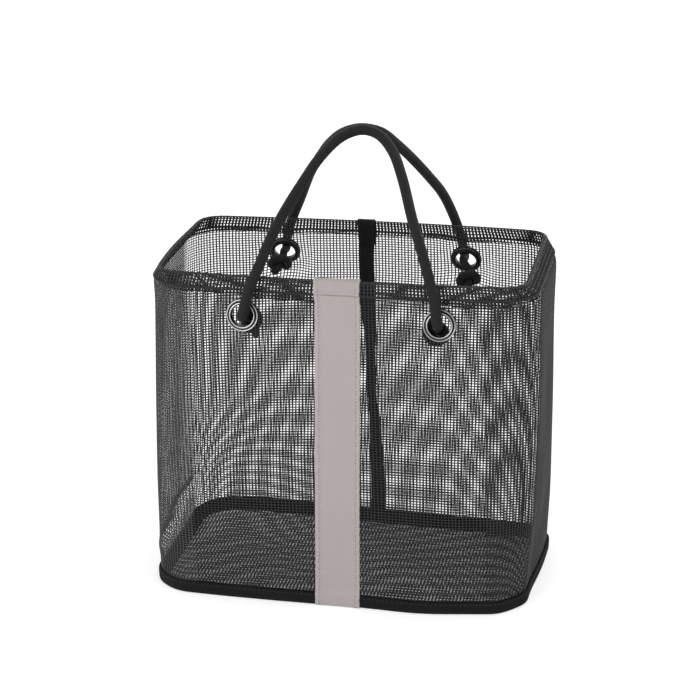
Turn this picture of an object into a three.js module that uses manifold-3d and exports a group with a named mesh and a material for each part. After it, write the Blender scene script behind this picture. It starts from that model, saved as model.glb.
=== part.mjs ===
import * as THREE from 'three';
import { ParametricGeometry } from 'three/addons/geometries/ParametricGeometry.js';
import { mergeVertices } from 'three/addons/utils/BufferGeometryUtils.js';
import Module from 'manifold-3d';

const wasm = await Module();
wasm.setup();

// An open-topped mesh toiletry bag with two cord handles. Millimetres, +Z up, front towards -Y,
// origin on the ground under the middle of the bag.

// Bag body: outer plan sizes at its fullest, and how far the base and the rim are drawn in
const bagHeight = 236;
const bodyWidth = 270;
const bodyDepth = 150;
const bodyCorner = 32;
const baseWidthTuck = 2;
const baseDepthTuck = 4;
const baseCorner = 26;
const rimWidthTuck = 20;
const rimDepthTuck = 10;
const rimCorner = 14;
// The front and back bow outwards this far at their middle
const panelBelly = 4;
// The wall is full from the top of the flare to the foot of the shoulder, then leans in to the rim
const flareHeight = 70;
const shoulderHeight = 15;
const kneeHeightShare = 0.3;
const kneeLeanShare = 0.12;

// Sheet and tape thicknesses, and the gap left between two pieces that lie on each other
const meshThickness = 0.6;
const pieceGap = 0.3;

// The wall's net, in a coarse grid here: the width of its bars, and how many openings it has in
// a row on each long side, short side and corner, and one above another
const netBar = 8;
const netLongColumns = 7;
const netShortColumns = 3;
const netCornerColumns = 2;
const netRows = 8;

// Folded hem over the rim
const hemHeight = 10;
const hemLeaf = 0.9;

// Tape bound round the base seam
const bindingHeight = 9;
const bindingLeaf = 1;

// Broad strip from the rim to the base up the middle of the front
const stripWidth = 32;
const stripThickness = 0.9;
const stripInsideLap = 15;
const stripStepHeight = 3;
const stripFootGap = 0.5;

// Narrow tape over the wall's seam, inside the middle of the back
const tapeWidth = 12;
const tapeThickness = 1;
const tapeOutsideLap = 14;
const tapeOffset = -2;

// Eyelets: a flanged barrel from outside, curled over a washer inside
const eyeletSpacing = 134;
const eyeletDrop = 26.6;
const frontEyeletOffset = 3;
const backEyeletOffset = -1;
const boreDiameter = 15;
const flangeDiameter = 22.4;
const barrelWall = 0.6;
const lipRise = 1.9;
const lipBreadth = 2.1;
const grooveRise = 0.9;
const rimRise = 0.7;
const curlBreadth = 1.9;
const curlDepth = 0.7;
const washerThickness = 0.8;

// Handle cords and their knots
const cordDiameter = 7.2;
const pivotBallDiameter = 7.6;
const flangeClearance = 0.4;
const knotCordDiameter = 5.5;
const knotStrandPitch = 5.9;
const tailTilt = 65;
const boreRunIn = 2.6;

// Facets
const longRunSteps = 10;
const shortRunSteps = 3;
const cornerSteps = 5;
const roundSteps = 20;
const ballSteps = 12;
const ballRings = 6;
const cordSides = 10;
const handleSteps = 44;
const knotSides = 8;
const knotSteps = 40;

// Colours and finishes
const meshBlack = { color: 0x24272a, roughness: 0.55, metalness: 0 };
const tapeBlack = { color: 0x17181a, roughness: 0.85, metalness: 0 };
const stripGreige = { color: 0xb0a8a6, roughness: 0.8, metalness: 0 };
const cordBlack = { color: 0x1c1b1c, roughness: 0.7, metalness: 0 };
const darkNickel = { color: 0x77787c, roughness: 0.25, metalness: 1 };
const blackPaint = { color: 0x1a1b1d, roughness: 0.4, metalness: 0.6 };

// Handle routes from eyelet to eyelet: x, the share of the way from the middle plane out to the
// hinge line, and the height over the eyelets. Each rises outside the wall, leans in above the
// rim and meets the other at the top.
const frontHandleRoute = [
  [-60.4, 0.999, 11.1], [-57.2, 0.997, 21.6], [-51.3, 0.95, 35.9], [-46.4, 0.857, 49.6],
  [-40.2, 0.718, 64.1], [-29.2, 0.486, 83.8], [-19.2, 0.268, 99], [-7.4, 0.103, 109.2],
  [5.2, 0.054, 113], [17.2, 0.091, 110.6], [28.2, 0.213, 102.2], [37.8, 0.419, 88.2],
  [48.2, 0.687, 66.6], [55.8, 0.843, 51.4], [62.6, 0.955, 34.6], [67.6, 0.998, 17.1],
];
const backHandleRoute = [
  [-66.6, 0.999, 11.1], [-62.8, 0.991, 23.6], [-55.5, 0.919, 40.2], [-49.4, 0.809, 54],
  [-42.6, 0.665, 67.6], [-32.9, 0.481, 82.2], [-22.8, 0.292, 95.8], [-10, 0.122, 107.2],
  [3.4, 0.054, 111.8], [15.2, 0.098, 108.9], [24.8, 0.27, 96.8], [33.8, 0.479, 81.6],
  [42.3, 0.677, 65.6], [49.6, 0.843, 50.6], [55.2, 0.955, 34.6], [60.9, 0.998, 17.1],
];

// A tight overhand knot as waves along its cord, in strand pitches. Half a turn about its first
// axis brings it onto itself, so its other two axes have only sines. The cord is pulled along
// the third axis.
const knotAcrossShares = [0.04, 0.37, 0.77, 0.08, -0.15];
const knotSideShares = [-0.28, -0.68, -0.22, 0.14, -0.03];
const knotPullShares = [-1.88, -0.2, -0.03, 0.08];
const knotReachShare = 2.03;
const knotUsedShare = 0.9;
const knotPoints = 24;

// The wall's plan changes from level to level, straight in between
const bodyPlan = { width: bodyWidth, depth: bodyDepth, corner: bodyCorner };
const rimPlan = drawnIn(rimWidthTuck, rimDepthTuck, rimCorner);
const basePlan = drawnIn(baseWidthTuck, baseDepthTuck, baseCorner);

function drawnIn(widthTuck, depthTuck, corner) {
  return { width: bodyWidth - widthTuck, depth: bodyDepth - depthTuck, corner };
}

function blendPlans(a, b, share) {
  return {
    width: a.width + (b.width - a.width) * share,
    depth: a.depth + (b.depth - a.depth) * share,
    corner: a.corner + (b.corner - a.corner) * share,
  };
}

const levels = [
  { z: 0, plan: basePlan },
  { z: flareHeight, plan: bodyPlan },
  { z: bagHeight - shoulderHeight, plan: bodyPlan },
  {
    z: bagHeight - shoulderHeight * (1 - kneeHeightShare),
    plan: blendPlans(bodyPlan, rimPlan, kneeLeanShare),
  },
  { z: bagHeight, plan: rimPlan },
];

function planAt(z) {
  const above = levels.findIndex((level, index) => index > 0 && z <= level.z);
  const upper = levels[above < 0 ? levels.length - 1 : above];
  const lower = levels[levels.indexOf(upper) - 1];
  return blendPlans(lower.plan, upper.plan, (z - lower.z) / (upper.z - lower.z));
}

function rowsBetween(bottom, top) {
  const inner = levels.map((level) => level.z).filter((z) => z > bottom && z < top);
  return [bottom, ...inner, top];
}

// Stations round the plan: four sides in turn, front, right, back and left, each with a corner
function planStations() {
  const stations = [];
  [longRunSteps, shortRunSteps, longRunSteps, shortRunSteps].forEach((steps, side) => {
    for (let k = 0; k < steps; k++) stations.push({ side, along: k / steps });
    for (let k = 0; k < cornerSteps; k++) stations.push({ side, turn: k / cornerSteps });
  });
  return stations;
}

// A point of the outline at one station, height and distance in from the wall's outer face
function outlinePoint(station, z, inward) {
  const plan = planAt(z);
  const long = station.side % 2 === 0;
  const reach = (long ? plan.width : plan.depth) / 2 - plan.corner;
  const corner = plan.corner - inward;
  const out = (long ? plan.depth : plan.width) / 2 - inward;
  const heading = (station.side * Math.PI) / 2;
  const tangent = new THREE.Vector2(Math.cos(heading), Math.sin(heading));
  const normal = new THREE.Vector2(tangent.y, -tangent.x);
  if (station.turn !== undefined) {
    const angle = (station.turn * Math.PI) / 2;
    return tangent.clone().multiplyScalar(reach + corner * Math.sin(angle))
      .addScaledVector(normal, out - corner + corner * Math.cos(angle));
  }
  const share = 2 * station.along - 1;
  const belly = long ? panelBelly * (1 - share * share) : 0;
  return tangent.clone().multiplyScalar(reach * share).addScaledVector(normal, out + belly);
}

// Distance from the middle plane to the outer face of the front or back, at a given x and height
function panelFace(x, z) {
  const plan = planAt(z);
  const share = x / (plan.width / 2 - plan.corner);
  return plan.depth / 2 + panelBelly * (1 - share * share);
}

function volumeOf(geometry) {
  const position = geometry.getAttribute('position');
  const index = geometry.getIndex();
  const [a, b, c] = [new THREE.Vector3(), new THREE.Vector3(), new THREE.Vector3()];
  let volume = 0;
  for (let k = 0; k < index.count; k += 3) {
    a.fromBufferAttribute(position, index.getX(k));
    b.fromBufferAttribute(position, index.getX(k + 1));
    c.fromBufferAttribute(position, index.getX(k + 2));
    volume += a.dot(b.cross(c));
  }
  return volume;
}

// Shared corners merged and the faces turned outwards
function closed(source) {
  const bare = source.clone();
  bare.deleteAttribute('normal');
  bare.deleteAttribute('uv');
  const merged = mergeVertices(bare);
  if (volumeOf(merged) < 0) merged.setIndex(Array.from(merged.getIndex().array).reverse());
  return merged;
}

function toSolid(geometry) {
  const merged = closed(geometry);
  return new wasm.Manifold(new wasm.Mesh({
    numProp: 3,
    vertProperties: new Float32Array(merged.getAttribute('position').array),
    triVerts: new Uint32Array(merged.getIndex().array),
  }));
}

function toGeometry(solid) {
  const mesh = solid.getMesh();
  const geometry = new THREE.BufferGeometry();
  geometry.setAttribute('position', new THREE.BufferAttribute(mesh.vertProperties, mesh.numProp));
  geometry.setIndex(new THREE.BufferAttribute(mesh.triVerts, 1));
  return geometry;
}

// A closed section carried round the plan
function ringGeometry(section) {
  const stations = planStations();
  const sweep = (u, v, target) => {
    const station = stations[Math.round(u * stations.length) % stations.length];
    const { inward, z } = section[Math.round(v * section.length) % section.length];
    const point = outlinePoint(station, z, inward);
    target.set(point.x, point.y, z);
  };
  return closed(new ParametricGeometry(sweep, stations.length, section.length));
}

function wallSection() {
  const rows = rowsBetween(bindingLeaf + pieceGap, bagHeight - hemLeaf - pieceGap);
  return [
    ...rows.map((z) => ({ inward: 0, z })),
    ...rows.reverse().map((z) => ({ inward: meshThickness, z })),
  ];
}

// A channel folded over an edge of the wall, its mouth at one height and its back at the other
function channelSection(mouth, back, leaf) {
  const up = back > mouth;
  const inside = back + (up ? -leaf : leaf);
  const rows = (from, to) => {
    const list = rowsBetween(Math.min(from, to), Math.max(from, to));
    return from < to ? list : list.reverse();
  };
  const outerFace = -pieceGap - leaf;
  const innerFace = meshThickness + pieceGap + leaf;
  return [
    ...rows(mouth, back).map((z) => ({ inward: outerFace, z })),
    ...rows(back, mouth).map((z) => ({ inward: innerFace, z })),
    ...rows(mouth, inside).map((z) => ({ inward: innerFace - leaf, z })),
    ...rows(inside, mouth).map((z) => ({ inward: outerFace + leaf, z })),
  ];
}

function floorGeometry() {
  const inward = meshThickness + pieceGap + bindingLeaf + pieceGap;
  const outline = planStations().map((station) => outlinePoint(station, 0, inward));
  return closed(new THREE.ExtrudeGeometry(new THREE.Shape(outline), {
    depth: meshThickness, bevelEnabled: false,
  }));
}

// A tape of even thickness on one side of a line in the Y-Z plane, mitred where it turns
function tapeShape(line, thickness) {
  const offset = line.map((point, index) => {
    const before = index > 0 ? point.clone().sub(line[index - 1]).normalize() : null;
    const after = index < line.length - 1 ? line[index + 1].clone().sub(point).normalize() : null;
    const one = before ?? after;
    const two = after ?? before;
    const mitre = new THREE.Vector2(one.y + two.y, -one.x - two.x).normalize();
    const spread = mitre.dot(new THREE.Vector2(one.y, -one.x));
    return point.clone().addScaledVector(mitre, thickness / spread);
  });
  return new THREE.Shape([...line, ...offset.reverse()]);
}

function tapeGeometry(line, thickness, width) {
  const band = new THREE.ExtrudeGeometry(tapeShape(line, thickness), {
    depth: width, bevelEnabled: false,
  });
  band.rotateX(Math.PI / 2).rotateZ(Math.PI / 2);
  band.translate(-width / 2, 0, 0);
  return closed(band);
}

// The strip's inner line: up inside the hem, over it and down the outside to the ground
function stripLine() {
  const hemOut = pieceGap + hemLeaf + pieceGap;
  const bindingOut = pieceGap + bindingLeaf + pieceGap;
  const hemIn = meshThickness + hemOut;
  const at = (z, outward) => new THREE.Vector2(
    -panelFace(outward < 0 ? stripWidth / 2 : 0, z) - outward, z);
  const hemFoot = bagHeight - hemHeight;
  return [
    ...rowsBetween(bagHeight - stripInsideLap, bagHeight).map((z) => at(z, -hemIn)),
    at(bagHeight, -hemIn).setY(bagHeight + pieceGap),
    at(bagHeight, hemOut).setY(bagHeight + pieceGap),
    ...rowsBetween(hemFoot, bagHeight).reverse().map((z) => at(z, hemOut)),
    ...rowsBetween(bindingHeight + stripStepHeight, hemFoot - stripStepHeight).reverse()
      .map((z) => at(z, pieceGap)),
    at(bindingHeight, bindingOut),
    at(stripFootGap, bindingOut),
  ];
}

// The seam tape's line: from outside the back rim over the hem and down inside to the binding
function seamTapeLine() {
  const hemOut = pieceGap + hemLeaf + pieceGap;
  const hemIn = meshThickness + hemOut;
  const edge = tapeWidth / 2 + Math.abs(tapeOffset);
  const at = (z, outward) => new THREE.Vector2(
    panelFace(outward < 0 ? edge : 0, z) + outward, z);
  const hemFoot = bagHeight - hemHeight;
  const foot = bindingHeight + pieceGap;
  return [
    ...rowsBetween(bagHeight - tapeOutsideLap, bagHeight).map((z) => at(z, hemOut)),
    at(bagHeight, hemOut).setY(bagHeight + pieceGap),
    at(bagHeight, -hemIn).setY(bagHeight + pieceGap),
    ...rowsBetween(hemFoot, bagHeight).reverse().map((z) => at(z, -hemIn)),
    ...rowsBetween(foot, hemFoot - stripStepHeight).reverse()
      .map((z) => at(z, -meshThickness - pieceGap)),
  ];
}

// Eyelet places: side is -1 at the front and 1 at the back, and x the distance from the middle.
// Each knot is pulled into the bag at a tilt below the level and turned by a twist, in degrees. Its
// place from the eyelet, inwards, sideways and down, and its tail are in cord diameters.
const eyeletHeight = bagHeight - eyeletDrop;
const eyelets = [
  {
    name: 'front_left', side: -1, x: frontEyeletOffset - eyeletSpacing / 2,
    pullTilt: 30, twist: 90, depthShare: 1.65, swayShare: 0.5, dropShare: 0.85, tailShare: 1.8,
  },
  {
    name: 'front_right', side: -1, x: frontEyeletOffset + eyeletSpacing / 2,
    pullTilt: 30, twist: 300, depthShare: 1.65, swayShare: -0.7, dropShare: 1.35, tailShare: 0.7,
  },
  {
    name: 'back_left', side: 1, x: backEyeletOffset - eyeletSpacing / 2,
    pullTilt: 10, twist: 0, depthShare: 1.9, swayShare: -0.1, dropShare: 0.6, tailShare: 1,
  },
  {
    name: 'back_right', side: 1, x: backEyeletOffset + eyeletSpacing / 2,
    pullTilt: 10, twist: 15, depthShare: 2, swayShare: 0.5, dropShare: 1.3, tailShare: 0.7,
  },
];

// Frame of an eyelet: origin on the wall's outer face, its Y axis pointing out of the bag
function eyeletFrame({ side, x }) {
  const half = flangeDiameter / 2;
  const left = panelFace(x - half, eyeletHeight);
  const right = panelFace(x + half, eyeletHeight);
  const outward = new THREE.Vector3(left - right, side * flangeDiameter, 0).normalize();
  const frame = new THREE.Group();
  frame.position.set(x, side * Math.max(panelFace(x, eyeletHeight), (left + right) / 2),
    eyeletHeight);
  frame.quaternion.setFromUnitVectors(new THREE.Vector3(0, 1, 0), outward);
  return frame;
}

function eyeletGeometry() {
  const bore = boreDiameter / 2;
  const barrel = bore + barrelWall;
  const flange = flangeDiameter / 2;
  const lip = bore + lipBreadth;
  const curl = bore + curlBreadth;
  const washerFoot = -(meshThickness + 2 * pieceGap + washerThickness) - pieceGap;
  const profile = [
    [bore, washerFoot - curlDepth / 2],
    [bore, lipRise - barrelWall],
    [bore + barrelWall / 2, lipRise - barrelWall / 4],
    [bore + lipBreadth / 2, lipRise],
    [lip - barrelWall / 2, lipRise - barrelWall / 2],
    [lip, grooveRise],
    [flange - barrelWall, grooveRise],
    [flange, rimRise],
    [flange, pieceGap],
    [barrel, pieceGap],
    [barrel, washerFoot],
    [curl, washerFoot],
    [curl - barrelWall / 2, washerFoot - curlDepth],
    [bore + barrelWall / 2, washerFoot - curlDepth],
    [bore, washerFoot - curlDepth / 2],
  ];
  const points = profile.map(([radius, height]) => new THREE.Vector2(radius, height));
  return closed(new THREE.LatheGeometry(points, roundSteps));
}

function washerGeometry() {
  const inner = boreDiameter / 2 + barrelWall + pieceGap;
  const outer = flangeDiameter / 2;
  const top = -meshThickness - pieceGap * 2;
  const foot = top - washerThickness;
  const profile = [[inner, foot], [outer, foot], [outer, top], [inner, top], [inner, foot]];
  const points = profile.map(([radius, height]) => new THREE.Vector2(radius, height));
  return closed(new THREE.LatheGeometry(points, roundSteps));
}

// The net's openings, each with its station on the plan, its height and its sizes
function netOpenings() {
  const rise = (bagHeight - shoulderHeight - bindingHeight) / netRows;
  const openings = [];
  for (let side = 0; side < 4; side++) {
    const long = side % 2 === 0;
    const columns = long ? netLongColumns : netShortColumns;
    const run = (long ? bodyWidth : bodyDepth) - 2 * bodyCorner;
    const arc = (bodyCorner * Math.PI) / 2;
    for (let row = 0; row < netRows; row++) {
      const size = { z: bindingHeight + rise * (row + 1 / 2), height: rise - netBar };
      for (let k = 0; k < columns; k++) {
        const station = { side, along: (k + 1 / 2) / columns };
        openings.push({ station, width: run / columns - netBar, ...size });
      }
      for (let k = 0; k < netCornerColumns; k++) {
        const station = { side, turn: (k + 1 / 2) / netCornerColumns };
        openings.push({ station, width: arc / netCornerColumns - netBar, ...size });
      }
    }
  }
  return openings;
}

// The net is closed behind the strip, at the seam under the tape and round each eyelet
function closedAt({ station, z, width, height }) {
  const { x, y } = outlinePoint(station, z, 0);
  if (station.side === 0 && Math.abs(x) < stripWidth / 2) return true;
  if (station.side === 2 && Math.abs(x - tapeOffset) < tapeWidth) return true;
  return eyelets.some((eyelet) => eyelet.side * y > 0
    && Math.abs(x - eyelet.x) < (width + flangeDiameter + netBar) / 2
    && Math.abs(z - eyeletHeight) < (height + flangeDiameter + netBar) / 2);
}

// The wall with the net's openings and a hole for each barrel
function wallGeometry() {
  const hole = boreDiameter / 2 + barrelWall + pieceGap;
  let wall = toSolid(ringGeometry(wallSection()));
  for (const opening of netOpenings().filter((one) => !closedAt(one))) {
    const { station, z, width, height } = opening;
    const spot = outlinePoint(station, z, 0);
    const cut = new THREE.BoxGeometry(width, flangeDiameter, height);
    cut.rotateZ(((station.side + (station.turn ?? 0)) * Math.PI) / 2);
    cut.translate(spot.x, spot.y, z);
    wall = wall.subtract(toSolid(cut));
  }
  for (const eyelet of eyelets) {
    const drill = new THREE.CylinderGeometry(hole, hole, flangeDiameter, roundSteps);
    const frame = eyeletFrame(eyelet);
    frame.updateMatrixWorld();
    drill.applyMatrix4(frame.matrixWorld);
    wall = wall.subtract(toSolid(drill));
  }
  return toGeometry(wall);
}

function tubeGeometry(points, diameter, sides, steps) {
  const section = new THREE.Shape(Array.from({ length: sides }, (_, k) => {
    const angle = (2 * Math.PI * k) / sides;
    return new THREE.Vector2(Math.cos(angle), Math.sin(angle)).multiplyScalar(diameter / 2);
  }));
  const path = new THREE.CatmullRomCurve3(points, false, 'centripetal');
  return closed(new THREE.ExtrudeGeometry(section, { steps, extrudePath: path }));
}

// Each handle turns about a line just clear of its two eyelets' lips
const hingeDistance = Math.max(...eyelets.map(({ x }) => panelFace(x, eyeletHeight)))
  + lipRise + pivotBallDiameter / 2 + flangeClearance;

function hingePoint({ side, x }) {
  return new THREE.Vector3(x, side * hingeDistance, eyeletHeight);
}

// A handle cord with a round end at each eyelet
function handleGeometry(route, left, right) {
  const ends = [hingePoint(left), hingePoint(right)];
  const arch = route.map(([x, outShare, rise]) => (
    new THREE.Vector3(x, left.side * outShare * hingeDistance, eyeletHeight + rise)));
  const points = [ends[0], ...arch, ends[1]];
  let cord = toSolid(tubeGeometry(points, cordDiameter, cordSides, handleSteps));
  for (const end of ends) {
    const ball = new THREE.SphereGeometry(pivotBallDiameter / 2, ballSteps, ballRings);
    ball.translate(end.x, end.y, end.z);
    cord = cord.add(toSolid(ball));
  }
  return toGeometry(cord);
}

function sumOfWaves(waves, first, curve, share) {
  return waves.reduce((sum, wave, k) => sum + wave * curve((k + first) * Math.PI * share), 0);
}

// A point of the knot's line, in strand pitches, at a share from -1 to 1 of its length
function knotPoint(share) {
  return [
    sumOfWaves(knotAcrossShares, 0, Math.cos, share),
    sumOfWaves(knotSideShares, 1, Math.sin, share),
    sumOfWaves(knotPullShares, 1, Math.sin, share) + knotReachShare * share,
  ];
}

// A direction into the bag, at an angle below the level
function inwards(side, tilt) {
  const angle = THREE.MathUtils.degToRad(tilt);
  return new THREE.Vector3(0, -side * Math.cos(angle), -Math.sin(angle));
}

// The fixed end of a cord: in through the bore, round the knot and out at its tail
function knotGeometry({
  side, x, pullTilt, twist, depthShare, swayShare, dropShare, tailShare,
}) {
  const face = panelFace(x, eyeletHeight) - meshThickness;
  const pull = inwards(side, pullTilt);
  const across = new THREE.Vector3(1, 0, 0).applyAxisAngle(pull, THREE.MathUtils.degToRad(twist));
  const sideways = pull.clone().cross(across);
  const centre = new THREE.Vector3(x + swayShare * cordDiameter,
    side * (face - depthShare * cordDiameter), eyeletHeight - dropShare * cordDiameter);
  const knot = [];
  for (let k = 0; k <= knotPoints; k++) {
    const share = THREE.MathUtils.mapLinear(k, 0, knotPoints, -knotUsedShare, knotUsedShare);
    const [a, b, c] = knotPoint(share);
    knot.push(centre.clone()
      .addScaledVector(across, a * knotStrandPitch)
      .addScaledVector(sideways, b * knotStrandPitch)
      .addScaledVector(pull, c * knotStrandPitch));
  }
  const start = hingeDistance - pivotBallDiameter / 2 - pieceGap;
  const points = [
    new THREE.Vector3(x, side * start, eyeletHeight),
    new THREE.Vector3(x, side * (face - boreRunIn), eyeletHeight),
    ...knot,
    knot[knot.length - 1].clone()
      .addScaledVector(inwards(side, tailTilt), tailShare * cordDiameter),
  ];
  return tubeGeometry(points, knotCordDiameter, knotSides, knotSteps);
}

function piece(name, geometry, finish) {
  const mesh = new THREE.Mesh(geometry, new THREE.MeshStandardMaterial(finish));
  mesh.name = name;
  return mesh;
}

function seamTape() {
  const mesh = piece('back_seam_tape',
    tapeGeometry(seamTapeLine(), tapeThickness, tapeWidth), tapeBlack);
  mesh.position.x = tapeOffset;
  return mesh;
}

const [frontLeft, frontRight, backLeft, backRight] = eyelets;
const group = new THREE.Group();
group.add(
  piece('mesh_wall', wallGeometry(), meshBlack),
  piece('mesh_floor', floorGeometry(), meshBlack),
  piece('rim_hem', ringGeometry(channelSection(bagHeight - hemHeight, bagHeight, hemLeaf)),
    meshBlack),
  piece('base_binding', ringGeometry(channelSection(bindingHeight, 0, bindingLeaf)), tapeBlack),
  piece('front_strip', tapeGeometry(stripLine(), stripThickness, stripWidth), stripGreige),
  seamTape(),
  piece('front_handle_cord', handleGeometry(frontHandleRoute, frontLeft, frontRight), cordBlack),
  piece('back_handle_cord', handleGeometry(backHandleRoute, backLeft, backRight), cordBlack),
);
for (const eyelet of eyelets) {
  const frame = eyeletFrame(eyelet);
  frame.add(
    piece(`${eyelet.name}_eyelet`, eyeletGeometry(), darkNickel),
    piece(`${eyelet.name}_washer`, washerGeometry(), blackPaint),
  );
  group.add(frame, piece(`${eyelet.name}_knot`, knotGeometry(eyelet), cordBlack));
}

export default group;
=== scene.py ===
"""The looks of an open-topped mesh toiletry bag with two knotted cord handles.

Everything is in metres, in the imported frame: +Z up, front towards -Y, origin on the ground.
"""

from __future__ import annotations

import logging
import math
from dataclasses import dataclass
from enum import Enum
from typing import Sequence

import bpy
import numpy as np
from mathutils import Matrix, Vector


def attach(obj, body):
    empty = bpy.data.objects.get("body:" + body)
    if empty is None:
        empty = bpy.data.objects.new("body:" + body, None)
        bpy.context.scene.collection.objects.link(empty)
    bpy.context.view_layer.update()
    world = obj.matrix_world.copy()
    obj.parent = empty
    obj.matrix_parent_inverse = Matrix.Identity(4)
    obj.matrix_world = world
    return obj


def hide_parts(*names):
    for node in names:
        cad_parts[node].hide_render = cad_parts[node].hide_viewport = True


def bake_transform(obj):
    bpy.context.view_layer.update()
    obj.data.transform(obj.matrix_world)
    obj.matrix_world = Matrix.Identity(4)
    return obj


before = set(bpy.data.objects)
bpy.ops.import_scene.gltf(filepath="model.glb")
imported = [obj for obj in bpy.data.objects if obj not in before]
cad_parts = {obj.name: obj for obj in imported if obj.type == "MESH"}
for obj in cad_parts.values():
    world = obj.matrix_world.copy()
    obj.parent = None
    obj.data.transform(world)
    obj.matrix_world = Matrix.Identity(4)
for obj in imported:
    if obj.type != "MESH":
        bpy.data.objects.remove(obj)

Array = np.ndarray
Pair = tuple[float, float]
Triple = tuple[float, float, float]
LOG = logging.getLogger("mesh_bag")
MM = 0.001
TURN = 2 * np.pi
# Places of a moving average, as shares of its reach to each side.
SOFT_TAPS = np.linspace(-1, 1, 9)
# Lap shares of a row of stitches that runs once round the bag.
ONCE_ROUND = np.linspace(0, 1, 900)
ROOT_BODY = "bag"


class Slot(Enum):
    """Material slots of the finishes."""

    MESH = "mesh"
    TAPE = "tape"
    STRIP = "strip"
    CORD = "cord"
    NICKEL = "nickel"
    WASHER = "washer"


@dataclass
class Patch:
    """Points, faces and face-corner UVs of one surface, in blocks of faces with equal corners."""

    points: Array
    faces: list[Array]
    uvs: list[Array]

    def turned_outwards(self) -> Patch:
        """The same closed surface with its faces pointing out.

        The enclosed volume is the sum over triangles of a . (b x c) / 6, and it is negative
        where the faces point in.

        Returns:
            The surface itself, or a turned one.
        """
        volume = 0.0
        for block in self.faces:
            first = self.points[block[:, 0]]
            for k in range(1, block.shape[1] - 1):
                b, c = self.points[block[:, k]], self.points[block[:, k + 1]]
                volume += float(np.einsum("ij,ij->", first, np.cross(b, c)))
        if volume >= 0:
            return self
        faces, uvs = ([block[:, ::-1] for block in blocks] for blocks in (self.faces, self.uvs))
        return Patch(self.points, faces, uvs)


def loft(
    sections: Array,
    keep: Array | None = None,
    closed: bool = False,
    across: Array | None = None,
    along: Array | None = None,
) -> Patch:
    """Skins rows of closed sections, with a flat end wherever a run of sections stops.

    Args:
        sections: Points in an array of rows, stations, corners of the section, and x, y, z.
        keep: Which stations of each row are there. All of them if it is left out.
        closed: Whether each row's last station joins its first.
        across: UV distance round the section, one more value than it has corners.
        along: UV distance at each station, and once more at the end of a closed row.

    Returns:
        The closed surface, turned outwards.
    """
    rows, stations, corners = sections.shape[:3]
    kept = np.ones((rows, stations), bool) if keep is None else keep.copy()
    after, before = np.roll(kept, -1, axis=1), np.roll(kept, 1, axis=1)
    if not closed:
        after[:, -1] = before[:, 0] = False
    kept &= after | before
    after &= kept
    before &= kept
    index = np.arange(rows * stations * corners).reshape(rows, stations, corners)
    following = np.roll(index, -1, axis=1)
    quads = np.stack([index, np.roll(index, -1, 2), np.roll(following, -1, 2), following], axis=-1)
    across = np.linspace(0, 1, corners + 1) if across is None else across
    along = np.arange(stations + 1.0) if along is None else along
    along = np.append(along, along[-1])[: stations + 1]
    uv = np.zeros((*quads.shape, 2))
    uv[..., 0] = np.stack([across[:-1], across[1:], across[1:], across[:-1]], axis=-1)
    uv[..., 1] = np.stack([along[:-1], along[:-1], along[1:], along[1:]], axis=-1)[:, None]
    joined = kept & after
    faces = [quads[joined].reshape(-1, 4)]
    uvs = [uv[joined].reshape(-1, 4, 2)]
    ends = np.concatenate([index[kept & ~before][:, ::-1], index[kept & ~after]])
    if len(ends):
        faces.append(ends)
        uvs.append(np.zeros((*ends.shape, 2)))
    used = np.zeros(index.size, bool)
    used[np.concatenate([block.ravel() for block in faces])] = True
    number = np.cumsum(used) - 1
    points = sections.reshape(-1, 3)[used]
    return Patch(points, [number[block] for block in faces], uvs).turned_outwards()


def ring_sections(
    centres: Array, side: Array, lift: Array, corners: int, swell: Array | None = None
) -> Array:
    """Elliptic sections round the stations of some rows.

    A corner at angle a is the centre plus side x cos a plus lift x sin a, times its swell.

    Args:
        centres: Points in an array of rows, stations and x, y, z.
        side: Half axis across each station, of the same shape.
        lift: The other half axis.
        corners: Corners of a section.
        swell: Factors for rows, stations and corners.

    Returns:
        Points in an array of rows, stations, corners and x, y, z.
    """
    angle = TURN * np.arange(corners) / corners
    ring = np.cos(angle)[:, None] * side[:, :, None] + np.sin(angle)[:, None] * lift[:, :, None]
    if swell is not None:
        ring = ring * swell[..., None]
    return centres[:, :, None] + ring


def unit(vectors: Array) -> Array:
    """The vectors at length one."""
    return vectors / np.maximum(np.linalg.norm(vectors, axis=-1, keepdims=True), 1e-12)


def smooth_step(values: Array, low: float | Array, high: float | Array) -> Array:
    """A ramp from 0 at low to 1 at high, level at both ends: t x t x (3 - 2t)."""
    share = np.clip((np.asarray(values, float) - low) / (high - low), 0, 1)
    return share * share * (3 - 2 * share)


def read_table(values: Array, table: Sequence[Pair], place_unit: float = MM) -> Array:
    """What a table of places and millimetres says, straight between its rows.

    Args:
        values: Where it is read.
        table: Its rows.
        place_unit: What its places are multiplied by.

    Returns:
        Its results in metres.
    """
    places, results = np.array(table, float).T
    return np.interp(values, places * place_unit, results * MM)


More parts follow.
